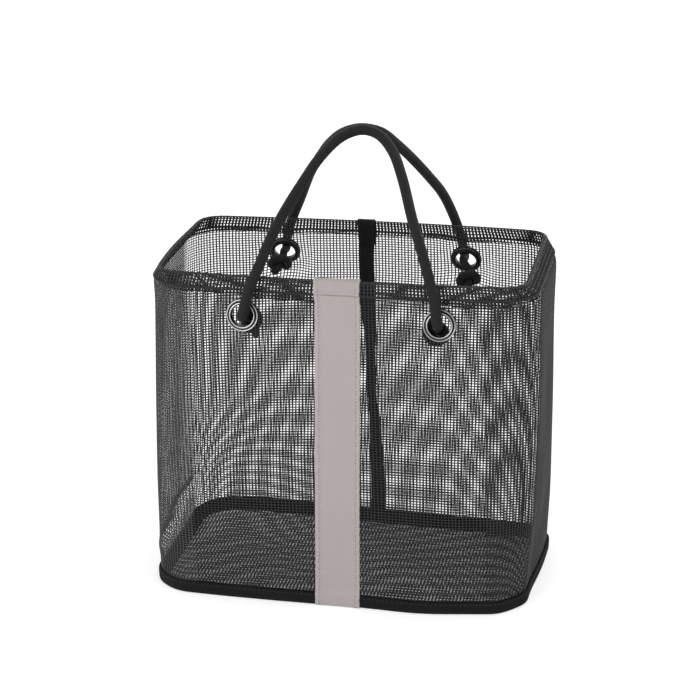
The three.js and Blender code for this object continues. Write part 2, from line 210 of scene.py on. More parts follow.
def catmull_rom(points: Array, steps: int) -> Array:
    """A smooth curve through points, with knots spaced by the square root of the distance.

    It is mixed from straight lines in three rounds, each over one knot more. The first and
    last points are repeated by reflection.

    Args:
        points: The points that the curve goes through.
        steps: Steps between two of them.

    Returns:
        The points of the curve.
    """
    whole = np.vstack([2 * points[0] - points[1], points, 2 * points[-1] - points[-2]])
    knots = np.concatenate([[0], np.cumsum(np.linalg.norm(np.diff(whole, axis=0), axis=1) ** 0.5)])
    p0, p1, p2, p3 = (whole[k : len(whole) - 3 + k, None] for k in range(4))
    t0, t1, t2, t3 = (knots[k : len(knots) - 3 + k, None, None] for k in range(4))
    t = t1 + (t2 - t1) * (np.arange(steps) / steps)[None, :, None]

    def mixed(a: Array, b: Array, start: Array, stop: Array) -> Array:
        """The straight line from a at start to b at stop."""
        return (stop - t) / (stop - start) * a + (t - start) / (stop - start) * b

    a1, a2, a3 = mixed(p0, p1, t0, t1), mixed(p1, p2, t1, t2), mixed(p2, p3, t2, t3)
    curve = mixed(mixed(a1, a2, t0, t2), mixed(a2, a3, t1, t3), t1, t2)
    return np.vstack([curve.reshape(-1, points.shape[1]), points[-1]])


def lengths_along(points: Array) -> Array:
    """Distance along a line of points, from 0 at its first."""
    return np.concatenate([[0], np.cumsum(np.linalg.norm(np.diff(points, axis=0), axis=1))])


def respaced(points: Array, step: float, softness: float) -> Array:
    """The same line at even steps, its corners rounded by a moving average.

    Args:
        points: A line of points.
        step: Distance between the new points.
        softness: Reach of the moving average to each side.

    Returns:
        The new points, with the same two ends.
    """
    at = lengths_along(points)
    where = np.linspace(0, at[-1], max(2, int(round(at[-1] / step)) + 1))
    reach = np.minimum(softness, np.minimum(where, at[-1] - where))
    place = where[:, None] + reach[:, None] * SOFT_TAPS
    return np.stack([np.interp(place, at, column).mean(axis=1) for column in points.T], axis=1)


def carried_frames(path: Array) -> tuple[Array, Array]:
    """Two unit vectors square to a line at each of its points, without twist.

    Each pair is the one before it, made square to the line's next direction.

    Args:
        path: A line of points.

    Returns:
        The two vectors at each point.
    """
    heading = unit(np.gradient(path, axis=0))
    side = np.empty_like(path)
    start = np.array([1.0, 0.0, 0.0]) if abs(heading[0][0]) < 0.9 else np.array([0.0, 1.0, 0.0])
    for k, direction in enumerate(heading):
        start = start - direction * (start @ direction)
        start = start / np.linalg.norm(start)
        side[k] = start
    return side, np.cross(heading, side)


class NodeSheet:
    """A node tree with short calls for making and joining its nodes."""

    def __init__(self, tree: bpy.types.NodeTree) -> None:
        """Takes the tree and clears it."""
        self.tree = tree
        tree.nodes.clear()

    def feed(self, socket: bpy.types.NodeSocket, value: object) -> None:
        """Gives an input a value, or joins another node's output to it.

        Args:
            socket: The input.
            value: The value, or the output.
        """
        if isinstance(value, bpy.types.NodeSocket):
            self.tree.links.new(value, socket)
        else:
            socket.default_value = value

    def node(self, kind: str, *values: object, **settings: object) -> bpy.types.Node:
        """Makes a node.

        Args:
            kind: The node's type without its ShaderNode prefix, or in full for others.
            values: Values or outputs for its first inputs.
            settings: Its properties, or its inputs by name with _ for a space.

        Returns:
            The node.
        """
        made = self.tree.nodes.new(kind if kind.startswith("Node") else f"ShaderNode{kind}")
        for socket, value in zip(made.inputs, values):
            self.feed(socket, value)
        for name, value in settings.items():
            if name in made.bl_rna.properties:
                setattr(made, name, value)
            else:
                self.feed(made.inputs[name.replace("_", " ")], value)
        return made

    def math(self, operation: str, *values: object) -> bpy.types.NodeSocket:
        """A Math node's result. Each value is a number or an output."""
        return self.node("Math", *values, operation=operation).outputs[0]

    def halves(self, a: object, b: object) -> bpy.types.NodeSocket:
        """Half of a plus half of b."""
        return self.math("MULTIPLY_ADD", a, 0.5, self.math("MULTIPLY", b, 0.5))

    def blend(self, share: object, a: object, b: object) -> bpy.types.NodeSocket:
        """A colour mixed from a to b. Each is a colour or an output."""
        made = self.node("Mix", data_type="RGBA")
        for number, value in ((0, share), (6, a), (7, b)):
            self.feed(made.inputs[number], value)
        return made.outputs[2]


def effect_sheet(name: str, inputs: Sequence[str], outputs: Sequence[str]) -> NodeSheet:
    """An empty shader node group.

    Args:
        name: Its name.
        inputs: Names of its inputs, a vector where it is Vector and else a number.
        outputs: Names of its outputs, all numbers.

    Returns:
        Its sheet.
    """
    group = bpy.data.node_groups.new(name, "ShaderNodeTree")
    for key in inputs:
        kind = "NodeSocketVector" if key == "Vector" else "NodeSocketFloat"
        group.interface.new_socket(name=key, in_out="INPUT", socket_type=kind)
    for key in outputs:
        group.interface.new_socket(name=key, in_out="OUTPUT", socket_type="NodeSocketFloat")
    return NodeSheet(group)


def fibre_group() -> bpy.types.NodeTree:
    """Fine yarn fuzz and slow shade changes, from noise at two scales.

    Returns:
        The node group.
    """
    sheet = effect_sheet("fibre", ("Vector", "Scale"), ("Fuzz", "Drift"))
    given = sheet.node("NodeGroupInput").outputs
    fine = sheet.node("TexNoise", Vector=given[0], Scale=given[1], Detail=3.0, Roughness=0.6)
    slow = sheet.node("TexNoise", Vector=given[0], Scale=18.0, Detail=2.0)
    sheet.node("NodeGroupOutput", fine.outputs["Fac"], slow.outputs["Fac"])
    return sheet.tree


def weave_group() -> bpy.types.NodeTree:
    """A plain weave over UV distance: two families of ridges that take turns on top.

    With p across the warp and q across the weft in thread widths, a warp ridge is
    |sin pi p|, a weft ridge is |sin pi q|, and the sign of sin pi p x sin pi q says which is up.

    Returns:
        The node group.
    """
    sheet = effect_sheet("plain_weave", ("Vector", "Warp Pitch", "Weft Pitch"), ("Height",))
    given = sheet.node("NodeGroupInput").outputs
    split = sheet.node("SeparateXYZ", given[0])
    waves = []
    for axis in (0, 1):
        turns = sheet.math("DIVIDE", split.outputs[axis], given[axis + 1])
        waves.append(sheet.math("SINE", sheet.math("MULTIPLY", turns, math.pi)))
    warp_up = sheet.math("GREATER_THAN", sheet.math("MULTIPLY", *waves), 0.0)
    warp, weft = (sheet.math("ABSOLUTE", wave) for wave in waves)
    height = sheet.math("MULTIPLY_ADD", sheet.math("SUBTRACT", warp, weft), warp_up, weft)
    sheet.node("NodeGroupOutput", height)
    return sheet.tree


class Weave(Enum):
    """How a finish is woven."""

    NONE = "not woven"
    PLAIN = "plain weave over the UV map"
    BRAID = "the same, turned by 45 degrees"


@dataclass(frozen=True)
class Finish:
    """One finish, from its colours and the scale of its detail."""

    name: str
    slot: Slot
    dark: Triple  # Colour in the low places.
    light: Triple  # Colour on the high places.
    rough: Pair  # Least and greatest roughness.
    relief: float  # Depth of the bump.
    weave: Weave = Weave.NONE
    pitch: Pair = (0.0006, 0.0006)  # Thread pitches across and along.
    scale: float = 900.0  # Noise scale of the fuzz, per metre.
    metallic: float = 0.0
    specular: float = 0.5
    sheen: float = 0.0
    coat: float = 0.0
    edge: Triple | None = None  # Colour of sewn-down edges, or of a painted highlight on crests, if they differ.
    edge_from: float = 0.0  # First UV value, either side of 0, at which they start.
    edge_width: float = 0.001  # How much further on they are fully there.
    fuzz_on_weave: float = 0.35  # Height of the fuzz over a weave's height.
    edge_least: float = 0.35  # Share of the edge's colour where the shade is darkest.

    def build(self, fibre: bpy.types.NodeTree, weave: bpy.types.NodeTree) -> bpy.types.Material:
        """Makes the material.

        Its shade from dark to light is half slow drift and half fuzz, and half of that and
        half the height of the weave where it is woven.

        Args:
            fibre: The shared fuzz.
            weave: The shared weave.

        Returns:
            The material.
        """
        material = bpy.data.materials.new(self.name)
        material.use_nodes = True
        sheet = NodeSheet(material.node_tree)
        place = sheet.node("TexCoord").outputs
        yarn = sheet.node("Group", node_tree=fibre, Scale=self.scale, Vector=place["Object"])
        height = yarn.outputs["Fuzz"]
        shade = sheet.halves(yarn.outputs["Drift"], height)
        if self.weave is not Weave.NONE:
            turn = math.radians(45) if self.weave is Weave.BRAID else 0.0
            turned = sheet.node("Mapping", Vector=place["UV"], Rotation=(0, 0, turn)).outputs[0]
            cloth = sheet.node(
                "Group", node_tree=weave, Vector=turned, Warp_Pitch=self.pitch[0], Weft_Pitch=self.pitch[1]
            )
            raised = cloth.outputs["Height"]
            height = sheet.math("MULTIPLY_ADD", height, self.fuzz_on_weave, raised)
            shade = sheet.halves(raised, shade)
        colour = sheet.blend(shade, (*self.dark, 1), (*self.light, 1))
        # A lighter colour towards high UV values: sewn-down edges on the strip, a painted highlight on the
        # eyelets' crests.
        if self.edge:
            across = sheet.node("SeparateXYZ", place["UV"]).outputs[0]
            ramp = sheet.node(
                "MapRange", sheet.math("ABSOLUTE", across), self.edge_from,
                self.edge_from + self.edge_width, interpolation_type="SMOOTHSTEP",
            )
            share = sheet.math("MULTIPLY", ramp.outputs[0], sheet.math("ADD", shade, self.edge_least))
            colour = sheet.blend(share, colour, (*self.edge, 1))
        rough = sheet.node("MapRange", Value=shade, To_Min=self.rough[0], To_Max=self.rough[1])
        bump = sheet.node("Bump", Distance=self.relief, Height=height)
        shader = sheet.node(
            "BsdfPrincipled", Base_Color=colour, Roughness=rough.outputs[0], Normal=bump.outputs[0],
            Metallic=self.metallic, Specular_IOR_Level=self.specular, Sheen_Weight=self.sheen,
            Coat_Weight=self.coat,
        )
        sheet.node("OutputMaterial", shader.outputs[0])
        return material


FINISHES = (
    Finish(
        "coated_net", Slot.MESH, (0.0128, 0.0118, 0.0125), (0.037, 0.0345, 0.0362), (0.4, 0.62),
        0.00006, scale=1400.0, specular=0.22,
    ),
    # A lighter copy of coated_net: painted light on the yarns of the back and the left end.
    Finish(
        "net_painted_light", Slot.MESH, (0.032, 0.0295, 0.0315), (0.081, 0.075, 0.0795), (0.4, 0.62),
        0.00006, scale=1400.0, specular=0.22,
    ),
    Finish(
        "binding_tape", Slot.TAPE, (0.004, 0.004, 0.0045), (0.011, 0.011, 0.012), (0.7, 0.95),
        0.00012, Weave.PLAIN, (0.0008, 0.0005), specular=0.12, sheen=0.03,
    ),
    Finish(
        "seam_tape", Slot.TAPE, (0.003, 0.003, 0.0035), (0.009, 0.0095, 0.011), (0.6, 0.9),
        0.0001, Weave.PLAIN, (0.0006, 0.0011), specular=0.12, sheen=0.03,
    ),
    Finish(
        "strip_canvas", Slot.STRIP, (0.352, 0.315, 0.306), (0.447, 0.4, 0.391), (0.75, 0.95),
        0.00008, Weave.PLAIN, (0.00045, 0.00045), sheen=0.1, edge=(0.41, 0.395, 0.39), edge_from=0.0128,
    ),
    Finish(
        "strip_thread", Slot.STRIP, (0.2, 0.195, 0.19), (0.34, 0.33, 0.33), (0.6, 0.8),
        0.00004, scale=2500.0,
    ),
    Finish(
        "black_thread", Slot.TAPE, (0.005, 0.005, 0.005), (0.02, 0.02, 0.021), (0.5, 0.75),
        0.00004, scale=2500.0,
    ),
    Finish(
        "cord_braid", Slot.CORD, (0.003, 0.0028, 0.003), (0.011, 0.0103, 0.0107), (0.5, 0.75),
        0.00012, Weave.BRAID, specular=0.2, sheen=0.03,
    ),
    # Its edge colour is a painted highlight on the crests of the lip and the rim.
    Finish(
        "dark_nickel", Slot.NICKEL, (0.022, 0.022, 0.024), (0.05, 0.05, 0.053), (0.2, 0.4),
        0.000015, scale=600.0, metallic=1.0, edge=(0.34, 0.335, 0.34), edge_from=0.55, edge_width=0.42,
    ),
    Finish(
        "black_lacquer", Slot.WASHER, (0.006, 0.006, 0.007), (0.014, 0.014, 0.015), (0.25, 0.45),
        0.00002, scale=700.0, coat=0.3,
    ),
)


class Workshop:
    """The materials, built once, and the making of pieces from them."""

    def __init__(self) -> None:
        """Builds the shared effects and every finish."""
        effects = fibre_group(), weave_group()
        self.finishes = {finish.name: (finish, finish.build(*effects)) for finish in FINISHES}

    def make(self, name: str, patches: Sequence[Patch], finish: str) -> bpy.types.Object:
        """Puts surfaces into one mesh object at the origin.

        Args:
            name: The piece's name.
            patches: Its surfaces.
            finish: The name of its finish.

        Returns:
            The new object, linked into the scene.
        """
        starts = np.cumsum([0] + [len(patch.points) for patch in patches])
        blocks = [
            (block + start, uv)
            for patch, start in zip(patches, starts)
            for block, uv in zip(patch.faces, patch.uvs)
        ]
        corner_points = np.concatenate([block.ravel() for block, _ in blocks])
        sizes = np.concatenate([np.full(len(block), block.shape[1]) for block, _ in blocks])
        loop_starts = np.concatenate([[0], np.cumsum(sizes)[:-1]])
        mesh = bpy.data.meshes.new(name)
        mesh.vertices.add(int(starts[-1]))
        mesh.vertices.foreach_set("co", np.concatenate([patch.points for patch in patches]).ravel())
        mesh.loops.add(len(corner_points))
        mesh.loops.foreach_set("vertex_index", corner_points.astype(np.int32))
        mesh.polygons.add(len(sizes))
        mesh.polygons.foreach_set("loop_start", loop_starts.astype(np.int32))
        mesh.polygons.foreach_set("use_smooth", np.ones(len(sizes), bool))
        uv_map = mesh.uv_layers.new(name="surface")
        uv_map.data.foreach_set("uv", np.concatenate([uv.reshape(-1, 2) for _, uv in blocks]).ravel())
        mesh.update(calc_edges=True)
        mesh.validate()
        details, material = self.finishes[finish]
        mesh.materials.append(material)
        piece = bpy.data.objects.new(name, mesh)
        bpy.context.collection.objects.link(piece)
        LOG.info("%s: %d triangles", name, int((sizes - 2).sum()))
        return piece

    def fixed(self, name: str, patches: Sequence[Patch], finish: str, *nodes: str) -> bpy.types.Object:
        """Makes a piece that rides on the bag.

        Args:
            name: The piece's name.
            patches: Its surfaces.
            finish: The name of its finish.
            nodes: The CAD nodes that it stands for.

        Returns:
            The piece.
        """
        piece = self.make(name, patches, finish)
        if nodes:
            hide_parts(*nodes)
        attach(piece, ROOT_BODY)
        return piece


@dataclass(frozen=True)
class Eyelet:
    """Where an eyelet sits and how its cord is knotted."""

    name: str
    side: int  # -1 at the front and 1 at the back.
    x: float  # Distance from the middle.
    pull_tilt: float  # Degrees below the level at which the knot is pulled into the bag.
    twist: float  # Turn of the knot about its cord, in degrees.
    depth: float  # How far inside the wall the knot lies, in cord diameters.
    sway: float  # Sideways place of the knot, in cord diameters.
    drop: float  # How far the knot lies below the eyelet, in cord diameters.
    tail: float  # Length of the cord's tail, in cord diameters.
    tail_lean: float  # How far the tail leans to the right, in degrees.
    tilt: float  # How far the cord's pull tilts the eyelet's top into the bag, in degrees.
    pull_in: float  # How far it draws the eyelet into the bag, less than 0 for out.
    off_centre: float  # How far right of the bore's middle the cord passes.


@dataclass(frozen=True)
class Nudge:
    """A soft push on the cloth, which fades as exp(-r x r) with the distance in reaches."""

    centre: Triple
    reach: Triple
    shift: Triple

    def move(self, points: Array) -> Array:
        """The shift at some points."""
        far = (points - np.array(self.centre)) / np.array(self.reach)
        return np.exp(-(far**2).sum(axis=-1, keepdims=True)) * np.array(self.shift)


@dataclass(frozen=True)
class BagShape:
    """The bag's wall as a surface over a lap share and a height.

    The plan is a rectangle with round corners and a bowed front and back. Its sizes change
    with the height. A lap share runs from 0 at the middle of the front to the right.
    """

    height: float = 0.236
    middle_height: float = 0.1
    levels: tuple[float, ...] = (0.0, 0.07, 0.221, 0.2255, 0.236)
    widths: tuple[float, ...] = (0.268, 0.270, 0.270, 0.2676, 0.250)
    depths: tuple[float, ...] = (0.146, 0.150, 0.150, 0.1488, 0.140)
    corners: tuple[float, ...] = (0.026, 0.032, 0.032, 0.02984, 0.014)
    belly: float = 0.004  # Bow of the front and back.
    net_thickness: float = 0.0006
    hem_height: float = 0.010
    binding_height: float = 0.009
    eyelet_height: float = 0.2094
    hinge_distance: float = 0.0835557  # From the middle plane to a handle's hinge line.
    softening: float = 0.003  # Reach of the averaging that rounds corners and knees.
    ripple: float = 0.0004
    # Strength, waves round, height of a wave and phase of each ripple.
    ripples: tuple[tuple[float, ...], ...] = (
        (1, 3, 0.21, 0.4), (0.7, 7, -0.12, 1.3), (0.35, 16, 0.3, 2.1),
    )
    ripple_whole: Pair = (0.06, 0.19)  # The heights between which they are whole.
    ripple_stop: float = 0.224
    # The x and y at which a ripple starts to move a side, and at which it moves it fully.
    ripple_side_from: Pair = (0.10, 0.04)
    ripple_side_whole: Pair = (0.135, 0.07)
    calm_reach: float = 0.024  # How far round an eyelet they are held flat.
    plane_reach: float = 0.012  # How far round an eyelet its lean is whole.
    lean_reach: float = 0.027  # How far round it the lean has faded away.
    eyelets: tuple[Eyelet, ...] = (
        Eyelet("front_left", -1, -0.064, 30, 90, 1.65, 0.5, 0.85, 1.8, 0, 5, 0.0, 0.0008),
        Eyelet("front_right", -1, 0.070, 30, 300, 1.65, -0.7, 1.35, 0.7, 0, 5, 0.0, -0.0008),
        Eyelet("back_left", 1, -0.068, 10, 0, 1.9, -0.1, 0.6, 1.0, -40, 26, -0.003, 0.0),
        Eyelet("back_right", 1, 0.066, 10, 15, 2.0, 0.5, 1.3, 0.7, 10, 26, -0.003, -0.0014),
    )
    nudges: tuple[Nudge, ...] = (
        Nudge((0.136, -0.045, 0.0), (0.03, 0.05, 0.06), (-0.0058, 0.0, 0.0)),
        Nudge((0.130, -0.072, 0.0), (0.014, 0.03, 0.05), (0.0, 0.0055, 0.0)),
        Nudge((0.058, -0.08, 0.0), (0.033, 0.04, 0.05), (0.0, -0.0044, 0.0)),
        Nudge((-0.128, -0.068, 0.0), (0.015, 0.02, 0.05), (0.001, 0.0016, 0.0)),
        Nudge((-0.135, -0.06, 0.2), (0.03, 0.05, 0.05), (0.0024, 0.0, 0.0)),
        Nudge((-0.125, -0.02, 0.236), (0.03, 0.055, 0.012), (-0.0028, 0.0, 0.0)),
        Nudge((-0.134, -0.05, 0.04), (0.03, 0.05, 0.05), (-0.0010, 0.0, 0.0)),
        Nudge((-0.100, 0.078, 0.0), (0.075, 0.04, 0.04), (0.0, 0.006, 0.0028)),
        Nudge((0.120, 0.078, 0.0), (0.045, 0.03, 0.04), (0.0, -0.003, 0.0)),
        Nudge((0.136, 0.045, 0.0), (0.03, 0.04, 0.045), (-0.0011, 0.0, 0.0)),
        Nudge((-0.133, 0.075, 0.085), (0.035, 0.035, 0.045), (0.006, -0.011, 0.0)),
        Nudge((-0.135, 0.02, 0.034), (0.03, 0.03, 0.005), (-0.0025, 0.0, 0.0)),
        Nudge((-0.135, -0.02, 0.025), (0.03, 0.03, 0.005), (-0.0025, 0.0, 0.0)),
    )

    def plan(self, z: float | Array) -> tuple[Array, Array, Array]:
        """Width, depth and corner radius at some heights, straight between the levels."""
        return tuple(np.interp(z, self.levels, row) for row in (self.widths, self.depths, self.corners))

    def panel_face(self, x: float, z: float) -> float:
        """Distance from the middle plane to the outer face of the front or back."""
        width, depth, corner = self.plan(z)
        share = x / (width / 2 - corner)
        return float(depth / 2 + self.belly * (1 - share * share))

    def lap_length(self, z: float) -> float:
        """The way once round the plan at a height."""
        width, depth, corner = self.plan(z)
        return float(2 * (width + depth) - 8 * corner + TURN * corner)

    @property
    def girth(self) -> float:
        """The way once round the wall at its middle."""
        return self.lap_length(self.middle_height)

    def outline(self, lap: Array, z: Array, outward: Array) -> Array:
        """Points of the plan's outline.

        Each side's straight run is bowed by belly x (1 - s x s), where s is its share from -1
        to 1, and each corner is an arc. The outline is followed by true distance.

        Args:
            lap: Lap shares.
            z: Heights, of the same shape.
            outward: Distances out from the wall's outer face.

        Returns:
            The x and y of each point.
        """
        width, depth, corner = self.plan(z)
        runs = (width - 2 * corner, depth - 2 * corner)
        arc = corner * np.pi / 2
        total = 2 * (runs[0] + runs[1]) + 4 * arc
        at = (np.mod(lap, 1) * total + runs[0] / 2) % total
        spot = np.zeros((*np.shape(at), 2))
        start = np.zeros_like(at)
        for side in range(4):
            run = runs[side % 2]
            out = (depth if side % 2 == 0 else width) / 2 + outward
            along = np.array([np.cos(side * np.pi / 2), np.sin(side * np.pi / 2)])
            across = np.array([along[1], -along[0]])
            here = at - start
            share = np.clip(2 * here / run - 1, -1, 1)
            bow = self.belly * (1 - share * share) if side % 2 == 0 else 0.0
            line = (run / 2 * share)[..., None] * along + (out + bow)[..., None] * across
            spot = np.where(((here >= 0) & (here < run))[..., None], line, spot)
            turned = here - run
            angle = np.clip(turned / corner, 0, np.pi / 2)
            radius = corner + outward
            bend = (run / 2 + radius * np.sin(angle))[..., None] * along
            bend = bend + (out - radius + radius * np.cos(angle))[..., None] * across
            spot = np.where(((turned >= 0) & (turned < arc))[..., None], bend, spot)
            start = start + run + arc
        return spot

    def eyelet_window(self, x: Array, y: Array, z: Array) -> Array:
        """0 at every eyelet and 1 away from them, by 1 - exp(-(d / reach) squared).

        Args:
            x: Places to the right.
            y: Places to the back, of which only the side counts.
            z: Heights.

        Returns:
            The share at each place.
        """
        window = np.ones_like(x)
        for eyelet in self.eyelets:
            far = (x - eyelet.x) ** 2 + (z - self.eyelet_height) ** 2
            calm = window * (1 - np.exp(-far / self.calm_reach**2))
            window = np.where(np.sign(y) == eyelet.side, calm, window)
        return window

    def point(self, lap: Array, z: Array, outward: Array | float) -> Array:
        """Points on or off the wall's outer face, with its soft folds.

        The plan is averaged a little way round and up, so corners and knees are soft. The
        slow ripples are sines of lap and height. They fade out at the hem, at the binding
        and at the eyelets.

        Args:
            lap: Lap shares.
            z: Heights, of the same shape.
            outward: Distances out from the outer face.

        Returns:
            The points.
        """
        outward = np.broadcast_to(np.asarray(outward, float), lap.shape)
        reach = self.softening / self.girth
        taps = ((-1.0, 0.25), (0.0, 0.5), (1.0, 0.25))
        spot = 0.0
        for round_tap, round_share in taps:
            for up_tap, up_share in taps:
                level = np.clip(z + up_tap * self.softening, 0, self.height)
                here = self.outline(lap + round_tap * reach, level, outward)
                spot = spot + round_share * up_share * here
        low, high = self.ripple_whole
        free = smooth_step(z, self.binding_height, low) * smooth_step(-z, -self.ripple_stop, -high)
        wave = sum(
            strength * np.sin(TURN * (laps * lap + z / rise) + phase)
            for strength, laps, rise, phase in self.ripples
        )
        swell = self.ripple * wave * free * self.eyelet_window(spot[..., 0], spot[..., 1], z)
        sides = np.array(self.ripple_side_from), np.array(self.ripple_side_whole)
        ends = smooth_step(np.abs(spot), *sides)
        spot = spot + unit(np.sign(spot) * ends + 1e-9) * swell[..., None]
        return self.settled(np.concatenate([spot, z[..., None]], axis=-1))

    def settled(self, points: Array) -> Array:
        """The points after the soft pushes and the pull of the cords on the eyelets.

        Near an eyelet the cloth is a plane that leans in by tan(tilt) x the height over the
        eyelet, plus pull_in, and the lean fades away further out.

        Args:
            points: Points of the bag.

        Returns:
            The moved points.
        """
        moved = points + sum(nudge.move(points) for nudge in self.nudges)
        for eyelet in self.eyelets:
            rise = points[..., 2] - self.eyelet_height
            far = np.hypot(points[..., 0] - eyelet.x, rise)
            near = 1 - smooth_step(far, self.plane_reach, self.lean_reach)
            near = near * (np.sign(points[..., 1]) == eyelet.side)
            lean = rise * math.tan(math.radians(eyelet.tilt)) + eyelet.pull_in
            moved[..., 1] -= eyelet.side * near * lean
        return moved

    def follow(self, patch: Patch) -> Patch:
        """A surface that is sewn to the wall, moved with it."""
        return Patch(self.settled(patch.points), patch.faces, patch.uvs)


@dataclass(frozen=True)
class NetWeave:
    """The net's yarns: upright warps, and wefts that run round."""

    warp_pitch: float = 0.00244
    warp_width: float = 0.00095
    weft_width: float = 0.0006
    weft_pitch: float = 0.00194
    thickness: float = 0.0005
    crimp: float = 0.00013  # How far a yarn swings to each side where it passes over or under.
    stray: float = 0.00005  # How far a warp strays from its place, as a root mean square.

    def patches(
        self, grid: Array, keep: Array, first: int = 0, open_end: bool = True
    ) -> list[Patch]:
        """Two families of yarns over a grid of crossings.

        A crossing at i, j lifts the warp by crimp x (-1) to the i + j and sinks the weft by as
        much, so that each yarn goes over and under in turn.

        Args:
            grid: Crossings in an array of warp yarns, weft yarns and x, y, z.
            keep: Which crossings are there.
            first: Number of the first warp yarn, so that the next panel goes on in step.
            open_end: Whether the last warp yarn is this net's own.

        Returns:
            The warp's surface and the weft's.
        """
        round_way = unit(np.gradient(grid, axis=0))
        up_way = unit(np.gradient(grid, axis=1))
        out = unit(np.cross(round_way, up_way))
        warps, wefts = grid.shape[:2]
        parity = (-1.0) ** (np.arange(warps)[:, None] + np.arange(wefts)[None] + first)
        lift = out * (parity * self.crimp)[..., None]
        half = out * self.thickness / 2
        own = slice(None) if open_end else slice(None, -1)
        warp = ((grid + lift)[own], (round_way * self.warp_width / 2)[own], half[own])
        weft = (part.transpose(1, 0, 2) for part in (grid - lift, up_way * self.weft_width / 2, half))
        return [loft(ring_sections(*warp, 4), keep[own]), loft(ring_sections(*weft, 4), keep.T)]


@dataclass
class Stitches:
    """A row of thread stitches along a line."""

    length: float = 0.0026
    gap: float = 0.0008
    width: float = 0.0005
    height: float = 0.00035  # How far a stitch stands up at its middle.

    def patch(self, line: Array, out: Array) -> Patch:
        """Stitches over a line, each a bent spindle that dips into the cloth at both ends.

        At a share s from -1 to 1 of its length a stitch stands height x (1 - s x s) out, and
        its half width is width / 2 x sqrt(1 - 0.85 s x s).

        Args:
            line: Points of the line.
            out: Direction away from the cloth at each point.

        Returns:
            All the stitches.
        """
        at = lengths_along(line)
        count = max(1, int(at[-1] / (self.length + self.gap)))
        share = np.linspace(-1, 1, 5)
        where = (np.arange(count) + 0.5)[:, None] * at[-1] / count + share * self.length / 2
        centre, away = (
            np.stack([np.interp(where, at, column) for column in rows.T], axis=-1) for rows in (line, out)
        )
        away = unit(away)
        side = unit(np.cross(unit(np.gradient(centre, axis=1)), away))
        centre = centre + away * (self.height * (1 - share * share) - self.width / 6)[None, :, None]
        girth = (self.width / 2 * np.sqrt(1 - 0.85 * share * share))[None, :, None]
        return loft(ring_sections(centre, side * girth, away * girth * 0.8, 5))


@dataclass
class SubAssembly:
    """What every sub-assembly has: the bag's shape, and the workshop that makes its pieces."""

    shape: BagShape
    shop: Workshop

    def stitched(self, stitches: Stitches, lap: Array, z: Array, place: float, away: float) -> Patch:
        """A row of stitches on the wall or on a layer over it.

        Args:
            stitches: The stitches.
            lap: Lap shares of the row.
            z: Its heights.
            place: Its distance out from the wall's outer face.
            away: 1 where it faces out and -1 where it faces in.

        Returns:
            The stitches' surface.
        """
        line = self.shape.point(lap, z, place)
        normal = unit(self.shape.point(lap, z, place + MM) - line)
        return stitches.patch(line, normal * away)


def tape_middle(z: float | Array) -> Array:
    """The seam tape's distance from the middle at a height: the seam wanders a little."""
    table = (
        (0, 2.4), (18, 2.1), (89, -1.2), (97, -3.0), (141, -3.9), (164, -5.3), (206, -7.2), (236, -6.3)
    )
    return read_table(np.asarray(z)[..., None] + SOFT_TAPS * 0.008, table).mean(axis=-1)


